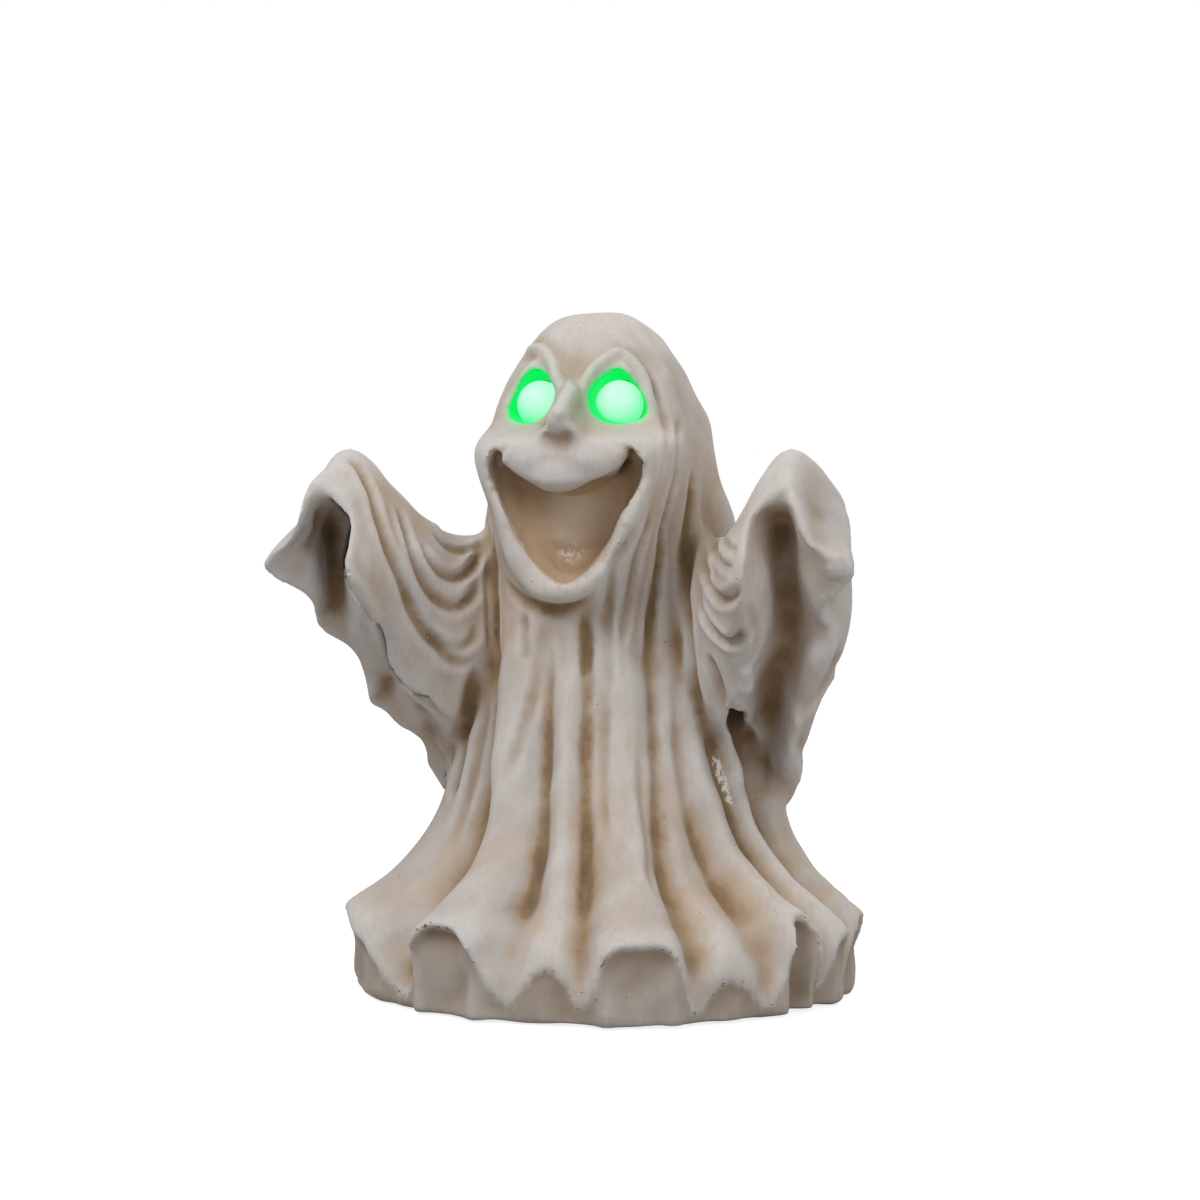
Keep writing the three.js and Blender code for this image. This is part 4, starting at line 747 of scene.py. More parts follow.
# The ruffled lining that fills the left arm's sleeve: the outline of its opening in the picture, and points
# of the lining as [x, y, distance from the aim towards the camera].
OPENING = [
    [784, 496], [771, 501], [758, 510], [751, 524], [748, 545], [746, 575], [746, 610], [749, 640],
    [752, 660], [748, 680], [741, 698], [747, 716], [757, 738], [766, 760], [771, 780], [770, 800],
    [780, 806], [793, 798], [800, 782], [799, 766], [793, 750], [799, 730], [808, 708], [818, 688],
    [828, 668], [833, 650], [830, 636], [821, 616], [817, 600], [824, 580], [828, 565], [822, 558],
    [811, 551], [803, 541], [797, 522], [791, 504],
]
LINING = [
    [771, 502, 151], [784, 498, 158], [791, 508, 159], [758, 513, 148], [752, 530, 151], [749, 560, 156],
    [748, 600, 147], [750, 630, 129], [753, 655, 111], [749, 680, 97], [743, 698, 87], [762, 535, 143],
    [762, 570, 146], [763, 600, 136], [765, 630, 116], [762, 655, 98], [757, 675, 82], [772, 530, 124],
    [773, 570, 128], [774, 605, 118], [773, 635, 98], [781, 522, 96], [784, 550, 88], [785, 580, 84],
    [787, 610, 82], [786, 632, 76], [778, 652, 66], [769, 676, 52], [762, 700, 40], [760, 722, 30],
    [764, 745, 24], [771, 765, 18], [776, 785, 10], [796, 520, 158], [802, 538, 159], [796, 548, 132],
    [797, 565, 124], [800, 590, 118], [803, 610, 108], [806, 560, 146], [815, 572, 150], [814, 594, 140],
    [813, 553, 160], [824, 560, 160], [810, 615, 118], [819, 612, 126], [812, 628, 100], [822, 632, 108],
    [797, 632, 84], [800, 648, 96], [812, 646, 112], [824, 650, 114], [797, 668, 88], [810, 668, 110],
    [822, 664, 108], [792, 688, 72], [803, 690, 92], [812, 688, 88], [787, 705, 56], [797, 706, 70],
    [806, 704, 68], [782, 722, 46], [793, 722, 74], [801, 722, 70], [778, 745, 34], [787, 745, 62],
    [793, 742, 56], [781, 762, 40], [790, 762, 44], [784, 778, 30], [793, 778, 28], [779, 795, 8],
    [790, 795, 6],
]

# The same for the right arm's sleeve.
OPENING_RIGHT = [
    [322, 492], [330, 500], [338, 506], [346, 516], [350, 530], [350, 545], [348, 560], [347, 578],
    [350, 592], [358, 601], [368, 613], [378, 625], [386, 637], [389, 650], [390, 662], [398, 674],
    [408, 686], [422, 697], [436, 708], [446, 720], [450, 734], [456, 746], [447, 760], [443, 775],
    [438, 788], [428, 768], [418, 752], [404, 736], [390, 722], [375, 712], [362, 690], [352, 665],
    [342, 645], [325, 630], [315, 615], [300, 603], [285, 590], [270, 570], [262, 556], [275, 545],
    [290, 535], [298, 515], [308, 498],
]
LINING_RIGHT = [
    [306, 500, 87], [316, 500, 82], [326, 500, 72], [336, 505, 66], [300, 520, 82], [310, 520, 76],
    [318, 520, 62], [326, 520, 42], [336, 520, 36], [344, 520, 38], [349, 522, 44], [285, 542, 75],
    [298, 540, 68], [310, 540, 62], [320, 540, 48], [330, 540, 32], [340, 540, 32], [348, 540, 40],
    [272, 560, 70], [285, 560, 66], [300, 560, 66], [312, 560, 62], [322, 560, 56], [332, 560, 36],
    [340, 560, 28], [346, 562, 38], [290, 580, 62], [305, 580, 62], [318, 580, 60], [328, 580, 44],
    [337, 580, 30], [345, 582, 52], [308, 600, 56], [318, 600, 54], [328, 600, 42], [337, 600, 30],
    [345, 600, 42], [355, 602, 66], [322, 620, 36], [332, 620, 26], [340, 620, 28], [348, 620, 46],
    [358, 620, 56], [370, 620, 60], [345, 640, 22], [352, 640, 36], [362, 640, 42], [372, 640, 48],
    [382, 640, 46], [358, 660, 18], [366, 660, 32], [376, 660, 30], [384, 662, 28], [389, 665, 30],
    [364, 680, 8], [372, 680, 18], [382, 680, 8], [390, 682, 0], [397, 682, 16], [402, 686, 24],
    [368, 700, 0], [376, 700, 4], [386, 700, -8], [394, 700, -2], [402, 700, 8], [412, 702, 20],
    [420, 704, 18], [385, 718, -18], [395, 720, -12], [405, 720, -2], [416, 720, 2], [426, 720, 6],
    [436, 722, 6], [410, 740, -26], [420, 740, -22], [428, 740, -22], [436, 740, -10], [445, 740, -6],
    [432, 757, -34], [440, 757, -28], [447, 755, -15],
]


# The lining passes into the rim over a few pixels. Its surface through the points is a thin plate, over a
# reach in pixels that counts for less up and down than across. A corner is hidden where the casting is met
# that many millimetres before it.
LINING_RIM = 3.0
PLATE_REACH = 60.0
PLATE_SQUEEZE = [1, 0.4]
PLATE_SOFT = 0.002
HIDDEN = 1.5


def filled(made, outline, given):
    """What the camera sees of a casting inside an outline, brought forward to a surface through points."""
    mesh = made.data
    points = corners(mesh)
    flat, depth = in_picture(points)
    loop = closed(outline)
    out = np.where(within(loop, flat), 0, distance_to(loop, flat))
    chosen = np.where(out < LINING_RIM)[0]
    tree = tree_of(made)
    start = Vector(camera_place * MM)
    kept = []
    for k in chosen:
        ray = Vector(points[k] * MM) - start
        hit = tree.ray_cast(start, ray.normalized())
        if hit[0] is not None and hit[3] > ray.length - HIDDEN * MM:
            kept.append(k)
    chosen = np.array(kept)
    given = np.array(given, float)

    def spline(a, b):
        r = np.linalg.norm((a[:, None] - b[None]) * PLATE_SQUEEZE, axis=-1) / PLATE_REACH
        return np.where(r > 0, r ** 2 * np.log(np.maximum(r, 1e-9)), 0)

    flat_given = given[:, :2]
    one = np.column_stack([np.ones(len(given)), flat_given / PLATE_REACH])
    count = len(given)
    system = np.zeros((count + 3, count + 3))
    system[:count, :count] = spline(flat_given, flat_given) + PLATE_SOFT * np.eye(count)
    system[:count, count:] = one
    system[count:, :count] = one.T
    weights = np.linalg.solve(system, np.append(given[:, 2], [0, 0, 0]))
    here = flat[chosen]
    wanted = spline(here, flat_given) @ weights[:count]
    wanted += np.column_stack([np.ones(len(here)), here / PLATE_REACH]) @ weights[count:]
    ease = np.clip(1 - out[chosen] / LINING_RIM, 0, 1)
    lift = np.maximum(wanted - depth[chosen], 0) * ease
    towards = camera_place - points[chosen]
    towards /= np.linalg.norm(towards, axis=1, keepdims=True)
    points[chosen] += towards * lift[:, None]
    put(mesh, points)


def met(tree, start, way):
    """The point of the casting that a ray meets first and its normal there, or None."""
    place, normal, _, _ = tree.ray_cast(Vector(start), Vector(way))
    return None if place is None else (np.array(place) / MM, np.array(normal))


def seen(tree, x, y):
    """The point of the casting that the camera sees at a place of the picture."""
    ray = camera_right * (x - PICTURE / 2) + camera_up * (PICTURE / 2 - y) - camera_back * FOCAL
    return met(tree, camera_place * MM, Vector(ray).normalized())


# Slits beside the opening's rim, as [x, y, radius] in the picture.
SLITS = [[748, 683, 7], [836, 570, 8]]
SLIT_SQUEEZE = [1, 0.5]

# Gaps are found on cells of the picture this many pixels wide, up to a rim outside the outline. One that is
# deeper than the least gap gets a small block on each cell, which ends just below the cloth beside it.
CELL = 2.0
GAP_RIM = 6
NOTHING = -300.0
LEAST_GAP = 1.5
BLOCK_HALF = 1.3
BLOCK_BELOW = 0.8
BLOCK_DEEP = 16
BLOCK_BACK = -2


def stopped(made, outline, reach):
    """Narrow gaps that the camera sees inside an outline, filled up to the cloth beside them."""
    tree = tree_of(made)
    loop = closed(outline)
    low = loop.min(0) - 2 * GAP_RIM
    high = loop.max(0) + 2 * GAP_RIM
    across = np.arange(low[0], high[0], CELL)
    down = np.arange(low[1], high[1], CELL)
    depth = np.full((len(down), len(across)), NOTHING)
    places = np.zeros((len(down), len(across), 3))
    for row, y in enumerate(down):
        for column, x in enumerate(across):
            found = seen(tree, x, y)
            if found is not None:
                places[row, column] = found[0]
                depth[row, column] = (found[0] - camera_place) @ camera_back + DISTANCE

    def gathered(grid, pick):
        wide = np.pad(grid, reach, mode="edge")
        rows, columns = grid.shape
        run = range(2 * reach + 1)
        return pick([wide[a:a + rows, b:b + columns] for a in run for b in run], axis=0)

    highest = gathered(depth, np.max)
    flat = np.stack(np.meshgrid(across, down), -1).reshape(-1, 2)
    near = within(loop, flat) | (distance_to(loop, flat) < GAP_RIM)
    gap = (gathered(highest, np.min) - depth) * near.reshape(depth.shape)
    for x, y, radius in SLITS:
        there = (np.linalg.norm((flat - [x, y]) * SLIT_SQUEEZE, axis=1) < radius).reshape(depth.shape)
        gap = np.where(there, np.maximum(gap, highest - depth - LEAST_GAP), gap)
    gap *= depth > NOTHING / 2
    side = camera_right * BLOCK_HALF
    rise = camera_up * BLOCK_HALF
    block_faces = block((0, 1), (0, 1), (0, 1))[1]
    shapes = []
    for row, column in np.argwhere(gap > LEAST_GAP):
        towards = camera_place - places[row, column]
        towards /= np.linalg.norm(towards)
        front = gap[row, column] - BLOCK_BELOW
        back = max(front - BLOCK_DEEP, BLOCK_BACK)
        points = [
            places[row, column] + towards * k + side * a + rise * b
            for k in (back, front) for b in (-1, 1) for a in (-1, 1)
        ]
        shapes.append((points, block_faces))
    plugs = united("plugs", shapes)
    both = bmesh.new()
    both.from_mesh(made.data)
    both.from_mesh(plugs.data)
    both.to_mesh(made.data)
    both.free()
    dropped(plugs)


softened(shell, 3)
filled(shell, OPENING, LINING)
filled(shell, OPENING_RIGHT, LINING_RIGHT)
stopped(shell, OPENING, 4)
stopped(shell, OPENING_RIGHT, 3)
worked(shell, "REMESH", mode="VOXEL", voxel_size=VOXEL * MM)

# The hem's lip keeps most of its edge.
LIP_KEEP = 0.6
below, outside = below_lip(corners(shell.data))
softened(shell, 4, LIP_KEEP * outside * hill(below, 1, 5))

# The stopped gaps are blended into the lining, down to the lowest place in each opening.
LINING_LOWEST = (-30, -60)
LINING_BLEND = 14
pairs = edge_pairs(shell.data)
points = corners(shell.data)
flat, depth = in_picture(points)
inside = np.zeros(len(points))
for outline, lowest in zip((OPENING, OPENING_RIGHT), LINING_LOWEST):
    loop = closed(outline)
    share = np.where(within(loop, flat), ramp(distance_to(loop, flat), 0, GAP_RIM), 0)
    inside = np.maximum(inside, share * (depth > lowest))
smoothed = averaged(points, pairs, LINING_BLEND)
put(shell.data, points + (smoothed - points) * averaged(inside, pairs, 3)[:, None])

# The cheeks pass into the hood in one soft sweep, between two heights on either side.
SWEEP_ANGLE = 70
SWEEP_WIDE = 16
SWEEP_HEIGHTS = (225, 352)
SWEEP_FADE = 20
SWEEP_REACH = 100
SWEEP_TIMES = 70
points = corners(shell.data)
swept = averaged(points, pairs, SWEEP_TIMES)
side = np.degrees(np.abs(np.arctan2(points[:, 0], -points[:, 1])))
low, high = SWEEP_HEIGHTS
sweep = hill(side, SWEEP_ANGLE, SWEEP_WIDE) * ramp(points[:, 2], low, low + SWEEP_FADE)
sweep *= ramp(points[:, 2], high, high - SWEEP_FADE) * (np.hypot(points[:, 0], points[:, 1]) < SWEEP_REACH)
put(shell.data, points + (swept - points) * sweep[:, None])


# Creases and rolls in the cloth. A line lies on the casting and is given where the camera sees it, by angle
# and height on the robe, or by x and z as met from the front.
AWAY = 0.4


def beside(tree, angle, z):
    """The point of the casting that is met from outside at an angle and height."""
    a = math.radians(angle)
    outward = Vector((math.sin(a), -math.cos(a), 0))
    return met(tree, outward * AWAY + Vector((0, 0, z * MM)), -outward)


def ahead(tree, x, z):
    """The point of the casting that is met from the front."""
    return met(tree, (x * MM, -AWAY, z * MM), (0, 1, 0))


# A crease fades out over a share of its length at both ends, where it is narrower too, and where the cloth
# faces away from its own. The roll beside it lies a number of widths off.
CREASE_REACH = 4
CREASE_FADE = 0.16
CREASE_BLUNT = 0.7
CREASE_THIN = 0.35
CREASE_FACING = (-0.1, 0.4)
ROLL_AT = 2.1
ROLL_WIDE = 0.9


def pressed(points, facing, line, ways, width, depth, power, roll):
    """How far each corner moves along its normal for one crease. A negative depth raises a ridge."""
    reach = CREASE_REACH * width
    near = ((points > line.min(0) - reach) & (points < line.max(0) + reach)).all(1)
    moved = np.zeros(len(points))
    if not near.any():
        return moved
    here = points[near]
    best = np.full(len(here), np.inf)
    place = np.zeros(len(here))
    for k in range(len(line) - 1):
        step = line[k + 1] - line[k]
        share = np.clip(((here - line[k]) @ step) / max(step @ step, 1e-9), 0, 1)
        gap = np.linalg.norm(here - line[k] - share[:, None] * step, axis=-1)
        closer = gap < best
        best[closer] = gap[closer]
        place[closer] = (k + share[closer]) / (len(line) - 1)
    way = ways[np.minimum((place * len(ways)).astype(int), len(ways) - 1)]
    agree = ramp((facing[near] * way).sum(1), *CREASE_FACING)
    taper = ramp(np.minimum(place, 1 - place), 0, CREASE_FADE) ** CREASE_BLUNT
    swell = CREASE_THIN + (1 - CREASE_THIN) * taper
    groove = np.exp(-((best / (width * swell)) ** power))
    shoulder_roll = roll * hill(best, ROLL_AT * width, ROLL_WIDE * width)
    moved[near] = (shoulder_roll - groove) * depth * taper * agree
    return moved


# A line is found at this many places, and ends where two of them lie further apart than the jump.
PLACES = 24
FEWEST_PLACES = 3
JUMP = 22


def creased(made, *groups):
    """The casting pressed in along lines. Each group is how its lines are found, and the lines."""
    mesh = made.data
    tree = tree_of(made)
    points = corners(mesh)
    facing = normals(mesh)
    total = np.zeros(len(points))
    for how, given, form in [(how, given, form) for how, lines in groups for given, *form in lines]:
        found = [how(tree, *place) for place in along(given, np.linspace(0, 1, PLACES))]
        found = [each for each in found if each is not None]
        if len(found) < FEWEST_PLACES:
            continue
        line = np.array([each[0] for each in found])
        ways = np.array([each[1] for each in found])
        gaps = np.linalg.norm(np.diff(line, axis=0), axis=1)
        runs = np.split(np.arange(len(line)), np.where(gaps > JUMP)[0] + 1)
        longest = max(runs, key=len)
        total += pressed(points, facing, line[longest], ways[longest], *form)
    put(mesh, points + facing * total[:, None])


# Each line: its points, its width, its depth (a ridge's is below 0), how blunt it is, and the roll beside it.
SWAGS = [
    ([[344, 457], [358, 467], [368, 485], [375, 505], [381, 525], [389, 548], [397, 570], [405, 592],
      [414, 613], [425, 632], [438, 648], [450, 659], [465, 662], [477, 656]], 3.2, 4.4, 1.7, 0.35),
    ([[429, 632], [438, 641], [449, 647], [460, 648], [471, 640], [477, 622]], 3.0, 3.0, 1.6, 0.3),
    ([[318, 506], [316, 530], [306, 552], [298, 578]], 4.0, 1.8, 1.8, 0.4),
    ([[303, 548], [311, 575], [319, 602]], 5.5, -2.2, 2.0, 0.3),
    ([[334, 520], [338, 558], [334, 596], [326, 618]], 6.5, 2.2, 2.0, 0.3),
    ([[374, 702], [385, 692], [391, 674]], 4.0, 2.2, 1.8, 0.3),
    ([[431, 744], [428, 722], [420, 703]], 4.0, 1.8, 1.8, 0.3),
    ([[398, 506], [404, 528], [411, 552], [420, 575], [430, 592], [445, 604], [458, 606], [470, 598],
      [478, 585]], 3.0, 4.6, 1.6, 0.4),
    ([[421, 545], [427, 560], [440, 573], [455, 578], [468, 572], [480, 555], [487, 540]], 2.6, 3.8, 1.6,
      0.4),
    ([[432, 532], [445, 545], [460, 551], [475, 548], [486, 538]], 2.0, 2.6, 1.6, 0.35),
    ([[447, 613], [455, 616], [463, 611]], 1.6, 1.2, 1.6, 0.2),
    ([[476, 662], [471, 700], [465, 738], [456, 778], [451, 800]], 4.5, 4.5, 1.7, 0.2),
    ([[392, 668], [404, 684], [420, 700], [436, 712], [447, 726], [449, 748]], 3.0, -2.0, 2.0, 0.3),
    ([[352, 545], [348, 560], [352, 575], [366, 592], [374, 612], [380, 640], [390, 662]], 3.0, -1.8, 2.0,
      0.3),
    ([[703, 560], [708, 580], [715, 596], [725, 600], [734, 596], [739, 585]], 2.8, 4.2, 1.6, 0.4),
    ([[699, 598], [706, 619], [716, 634], [727, 642], [737, 640], [744, 628]], 2.8, 4.4, 1.6, 0.4),
    ([[712, 536], [716, 552], [723, 565], [734, 567]], 2.2, 2.4, 1.6, 0.4),
    ([[722, 536], [728, 547], [737, 552]], 2.0, 1.8, 1.6, 0.3),
    ([[707, 655], [715, 676], [721, 700], [725, 724]], 4.5, 4.0, 1.7, 0.3),
    ([[745, 602], [752, 618], [756, 640], [751, 660], [742, 672]], 2.4, 1.6, 1.6, 0.4),
]
FACE = [
    ([[493, 490], [500, 514], [507, 540], [514, 560], [524, 577], [538, 590], [553, 595], [570, 592],
      [586, 581], [600, 563], [613, 543], [627, 520], [640, 498], [650, 476]], 6.5, -3.4, 2.4, 0.3),
    ([[505, 580], [520, 598], [538, 608], [558, 610], [578, 604], [594, 592]], 3.0, 2.4, 1.8, 0.2),
    ([[617, 445], [628, 449], [637, 456], [643, 467], [644, 478], [641, 488]], 1.8, 1.6, 1.6, 0.5),
    ([[505, 446], [500, 455], [497, 466]], 2.2, 1.8, 1.6, 0.4),
    ([[536, 439], [548, 437], [558, 438], [576, 434]], 5.0, 2.4, 2.0, 0.1),
    ([[524, 354], [534, 349], [544, 351], [551, 361], [556, 377], [560, 392]], 3.0, -2.8, 2.0, 0.5),
    ([[584, 394], [586, 379], [595, 366], [607, 357], [619, 351], [630, 358], [640, 371], [648, 388],
      [652, 406]], 2.8, -2.2, 2.0, 0.5),
    ([[577, 384], [569, 396], [563, 408], [558, 420]], 4.5, -3.0, 2.2, 0.2),
    ([[547, 408], [543, 420], [545, 432]], 3.6, 1.6, 2.0, 0.2),
]
FACE_AHEAD = [
    ([[-3, 320], [-3, 300], [-3, 282], [-3, 267]], 15, -5, 2.6, 0.1),
    ([[-15, 262], [-8, 256], [-2, 254.5], [5, 256.5], [12, 263]], 1.8, 1.6, 1.6, 0.3),
    ([[-30, 318], [-15, 315], [0, 314], [15, 315], [30, 318]], 9, -2.4, 2.4, 0.2),
]
HOOD = [
    ([[692, 470], [690, 500], [688, 540], [687, 575], [688, 610], [692, 650], [698, 690], [706, 724]], 3.6,
      4.6, 1.7, 0.35),
    ([[673, 478], [668, 502], [661, 530], [658, 560], [654, 590], [651, 625], [651, 660]], 2.4, 3.4, 1.5,
      0.5),
    ([[652, 508], [645, 532], [636, 560], [630, 588], [625, 620], [622, 650]], 2.4, 2.4, 1.6, 0.4),
    ([[640, 518], [628, 540], [617, 560], [611, 582], [606, 612], [605, 640]], 2.4, 2.0, 1.6, 0.4),
    ([[681, 410], [678, 440], [676, 466], [672, 492]], 2.2, 1.2, 1.6, 0.4),
    ([[645, 370], [655, 392], [663, 415], [668, 440], [667, 470]], 2.4, 1.3, 1.6, 0.4),
    ([[524, 612], [525, 640], [526, 664]], 2.6, 2.2, 1.6, 0.3),
    ([[583, 614], [586, 646], [586, 684]], 2.6, 2.2, 1.6, 0.3),
    ([[497, 505], [494, 540], [495, 570], [498, 610], [500, 660]], 2.4, 3.2, 1.6, 0.4),
    ([[489, 520], [488, 560], [488, 610], [489, 650]], 1.8, 2.0, 1.6, 0.4),
    ([[560, 632], [562, 655], [561, 676]], 2.4, 1.2, 1.6, 0.3),
]
ROBE = [
    ([[-17, 230], [-19, 200], [-22, 165], [-26, 130]], 3.0, 1.8, 1.7, 0.4),
    ([[19, 256], [18, 230], [17.5, 205], [18, 180]], 2.6, 1.6, 1.7, 0.4),
    ([[16, 190], [15, 160], [15, 130], [16, 100]], 3.0, 1.5, 1.8, 0.4),
    ([[30, 150], [30, 120], [30, 95], [29, 75]], 3.0, 1.5, 1.8, 0.4),
    ([[-55, 200], [-54, 170], [-52, 130], [-50, 90]], 3.6, 2.0, 1.8, 0.4),
    ([[125, 230], [126, 190], [126, 150], [127, 110]], 3.2, 2.0, 1.8, 0.4),
    ([[152, 300], [153, 260], [154, 220], [154, 190]], 3.0, 2.2, 1.7, 0.4),
    ([[170, 320], [169, 280], [168, 240], [168, 200]], 2.8, 1.8, 1.7, 0.4),
    ([[190, 326], [192, 290], [193, 250], [193, 205]], 3.0, 2.2, 1.7, 0.4),
    ([[214, 310], [213, 270], [212, 235], [212, 200]], 3.0, 2.2, 1.7, 0.4),
    ([[234, 230], [234, 190], [233, 150], [232, 110]], 3.2, 2.0, 1.8, 0.4),
    ([[133, 320], [135, 285], [137, 250], [138, 215]], 3.0, 2.0, 1.7, 0.4),
    ([[252, 180], [253, 150], [253, 120], [253, 90]], 3.2, 1.8, 1.8, 0.4),
]

# A shallow crease runs down the bottom of every valley between two folds.
VALLEY_HEIGHTS = (46, 80, 120, 160, 200, 236)
VALLEYS = [
    ([[float(smooth(FOLD_HEIGHTS, at, float(height))), height] for height in VALLEY_HEIGHTS],
     2.6, 1.1, 1.6, 0.3)
    for at, _, _, blunt in FOLDS if not blunt
]

creased(shell, (seen, SWAGS))
softened(shell, 1)
creased(shell, (seen, FACE), (ahead, FACE_AHEAD))
creased(shell, (seen, HOOD))
creased(shell, (beside, ROBE))
creased(shell, (beside, VALLEYS))
softened(shell, 1)

# Low uneven waves, as of a surface worked by hand: each row is a direction, a length and a height.
WAVES = [
    ([0.9, 0.2, 0.4], 41, 0.35), ([-0.3, 0.8, 0.5], 33, 0.3), ([0.2, -0.5, 0.85], 52, 0.35),
    ([0.7, 0.6, -0.4], 24, 0.22), ([-0.6, 0.5, 0.6], 19, 0.16),
]
points = corners(shell.data)
facing = normals(shell.data)
waved = sum(
    high * np.sin(2 * np.pi * (points @ np.array(way)) / length + k * 1.7)
    for k, (way, length, high) in enumerate(WAVES)
)

# They are higher on the hem and hardly there at the eyes.
HEM_WAVES = 1.6
x, y, z = points.T
at_hem = 1 + HEM_WAVES * ramp(z, 46, 26) * ramp(z, 2, 8)
at_face = ramp(np.abs(x) + np.abs(z - EYE_HEIGHT) + y, -10, 10, 0.2)
put(shell.data, points + facing * (waved * at_hem * at_face)[:, None])


# The casting: its hollow and the seats that are cut in it

HOLLOW_HEIGHTS = [36, 50, 64, 84, 105, 140, 180, 215, 240, 290, 330, 352, 375, 391]
DEEPEST = [-13, -13, -9, -7, -3, 0]
HOLLOW_TOP = [0, -4, 396]
MOUTH_FLOOR = 235
MOUTH_WALL = WALL + 2
PLATE_RADIUS = HEM - 41
PLATE_GAP = 1
PLATE_STEP = 8
LEDGE_WIDTH = 14
LEDGE_HEIGHT = 17
LEDGE_DEPTH = 0.95
SEAT_RADIUS = BALL + 0.5
SEAT_BORE = 27
PLATE_SCREW_HOLE = (1.8, 19)
MOST_FACES = 190000
SHARP = 42


def inner_space(sides=64):
    """The hollow of the casting, closed at both ends, with the ledge that the plate is screwed to."""
    k = np.linspace(0, 2 * np.pi, sides, endpoint=False)

    def ring(z, across, front, back):
        y = (back - front) / 2 - (back + front) / 2 * np.cos(k)
        return np.stack([across * np.sin(k), y, np.full(sides, float(z))], -1)

    room = PLATE_RADIUS + PLATE_GAP
    ledge = PLATE_RADIUS - LEDGE_WIDTH
    low = [(-1, room, 1), (PLATE_STEP, room, 1), (PLATE_STEP, ledge, LEDGE_DEPTH),
           (PLATE_STEP + LEDGE_HEIGHT, ledge, LEDGE_DEPTH)]
    rings = [ring(z, across, across * share, across * share) for z, across, share in low]
    for z in HOLLOW_HEIGHTS:
        height = np.array(float(z))
        across = float(robe_radius(height + WALL) + smooth(FOLD_HEIGHTS, DEEPEST, height) - WALL)
        deep = across * float(smooth(*DEPTH, height))
        forward = float(smooth(*LEAN, height))
        limit = MOUTH_BACK - MOUTH_WALL if z > MOUTH_FLOOR else math.inf
        rings.append(ring(z, across, min(deep + forward, limit), deep - forward))
    return tube(rings[::-1], HOLLOW_TOP, [0, 0, -1])


def ball(radius, middle, segments=48, rings=24):
    a = np.linspace(0, 2 * np.pi, segments, endpoint=False)
    loops = [
        [[middle[0] + radius * math.sin(t) * math.cos(b), middle[1] + radius * math.sin(t) * math.sin(b),
          middle[2] + radius * math.cos(t)] for b in a]
        for t in np.linspace(0, np.pi, rings + 1)[1:-1]
    ]
    top = [middle[0], middle[1], middle[2] + radius]
    bottom = [middle[0], middle[1], middle[2] - radius]
    return tube(loops, top, bottom)


def lengthwise(shape, middle):
    """A shape made along Z, laid along +Y from a middle."""
    points, faces = shape
    points = np.asarray(points, float)
    return np.stack([points[:, 0], points[:, 2], -points[:, 1]], -1) + middle, faces


eye_places = [np.array([side * EYE_ACROSS, -EYE_FORWARD, EYE_HEIGHT]) for side in (1, -1)]
tools = [inner_space()]
for place in eye_places:
    tools.append(ball(SEAT_RADIUS, place))
    tools.append(lengthwise(bar(SEAT_RADIUS, (0, SEAT_BORE), sides=48), place))
tools.append(from_pad(block((-PAD_HALF, PAD_HALF), PAD_RUN, (0, TOOL_REACH))))
tools.append(from_pad(block((-BOX_HOLE_HALF, BOX_HOLE_HALF), BOX_HOLE, (-TOOL_REACH, TOOL_REACH))))
boss_radius, boss_x, boss_y, boss_low = BOSS_HOLE
tools.append(from_pad(bar(boss_radius, (boss_low, TOOL_REACH), boss_x, boss_y)))
for x, y in BOX_SCREWS:
    tools.append(from_pad(bar(BOX_SCREW_HOLE[0], (BOX_SCREW_HOLE[1], TOOL_REACH), x, y, 16)))
screw_radius, screw_deep = PLATE_SCREW_HOLE
circle = PLATE_RADIUS - LEDGE_WIDTH / 2
for quarter in (45, 135, 225, 315):
    x = circle * math.sin(math.radians(quarter))
    y = -circle * math.cos(math.radians(quarter))
    tools.append(bar(screw_radius, (0, screw_deep), x, y, 16))

cut(shell, tools)
shell.data.calc_loop_triangles()
share = MOST_FACES / len(shell.data.loop_triangles)
worked(shell, "TRIANGULATE")
worked(shell, "DECIMATE", decimate_type="COLLAPSE", ratio=share)
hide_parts("ghost_shell")
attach(shell, "figure")
shell.data.shade_smooth()
shell.data.set_sharp_from_angle(angle=math.radians(SHARP))


# Where the wash has settled, where the dry brush has caught, and where light and shade are painted

points = corners(shell.data)
pairs = edge_pairs(shell.data)
facing = normals(shell.data)
x, y, z = points.T
flat, _ = in_picture(points)


def bulge(times):
    """How far each corner stands out from its surroundings, in millimetres."""
    return ((points - averaged(points, pairs, times)) * facing).sum(1)


relief = (bulge(6), bulge(60))

# For the fine and the broad relief: where a finish starts, where it is full, and its share.
WASH = ((0.05, 0.95, 0.5), (0.3, 5.8, 0.6))
BRUSH = ((0, 0.6, 0.55), (0, 4.0, 0.55))


def caught(way, rows):
    """Share of a finish at each corner, from how far the relief stands out (1) or lies in (-1)."""
    each = [share * ramp(way * out, first, full) for out, (first, full, share) in zip(relief, rows)]
    return averaged(sum(each), pairs, 2)


def note(name, values):
    """Values at the casting's corners that its material reads."""
    layer = shell.data.attributes.new(name, "FLOAT", "POINT")
    layer.data.foreach_set("value", np.asarray(values, np.float32))


wash_and_shade = caught(-1, WASH)
edge = caught(1, BRUSH)
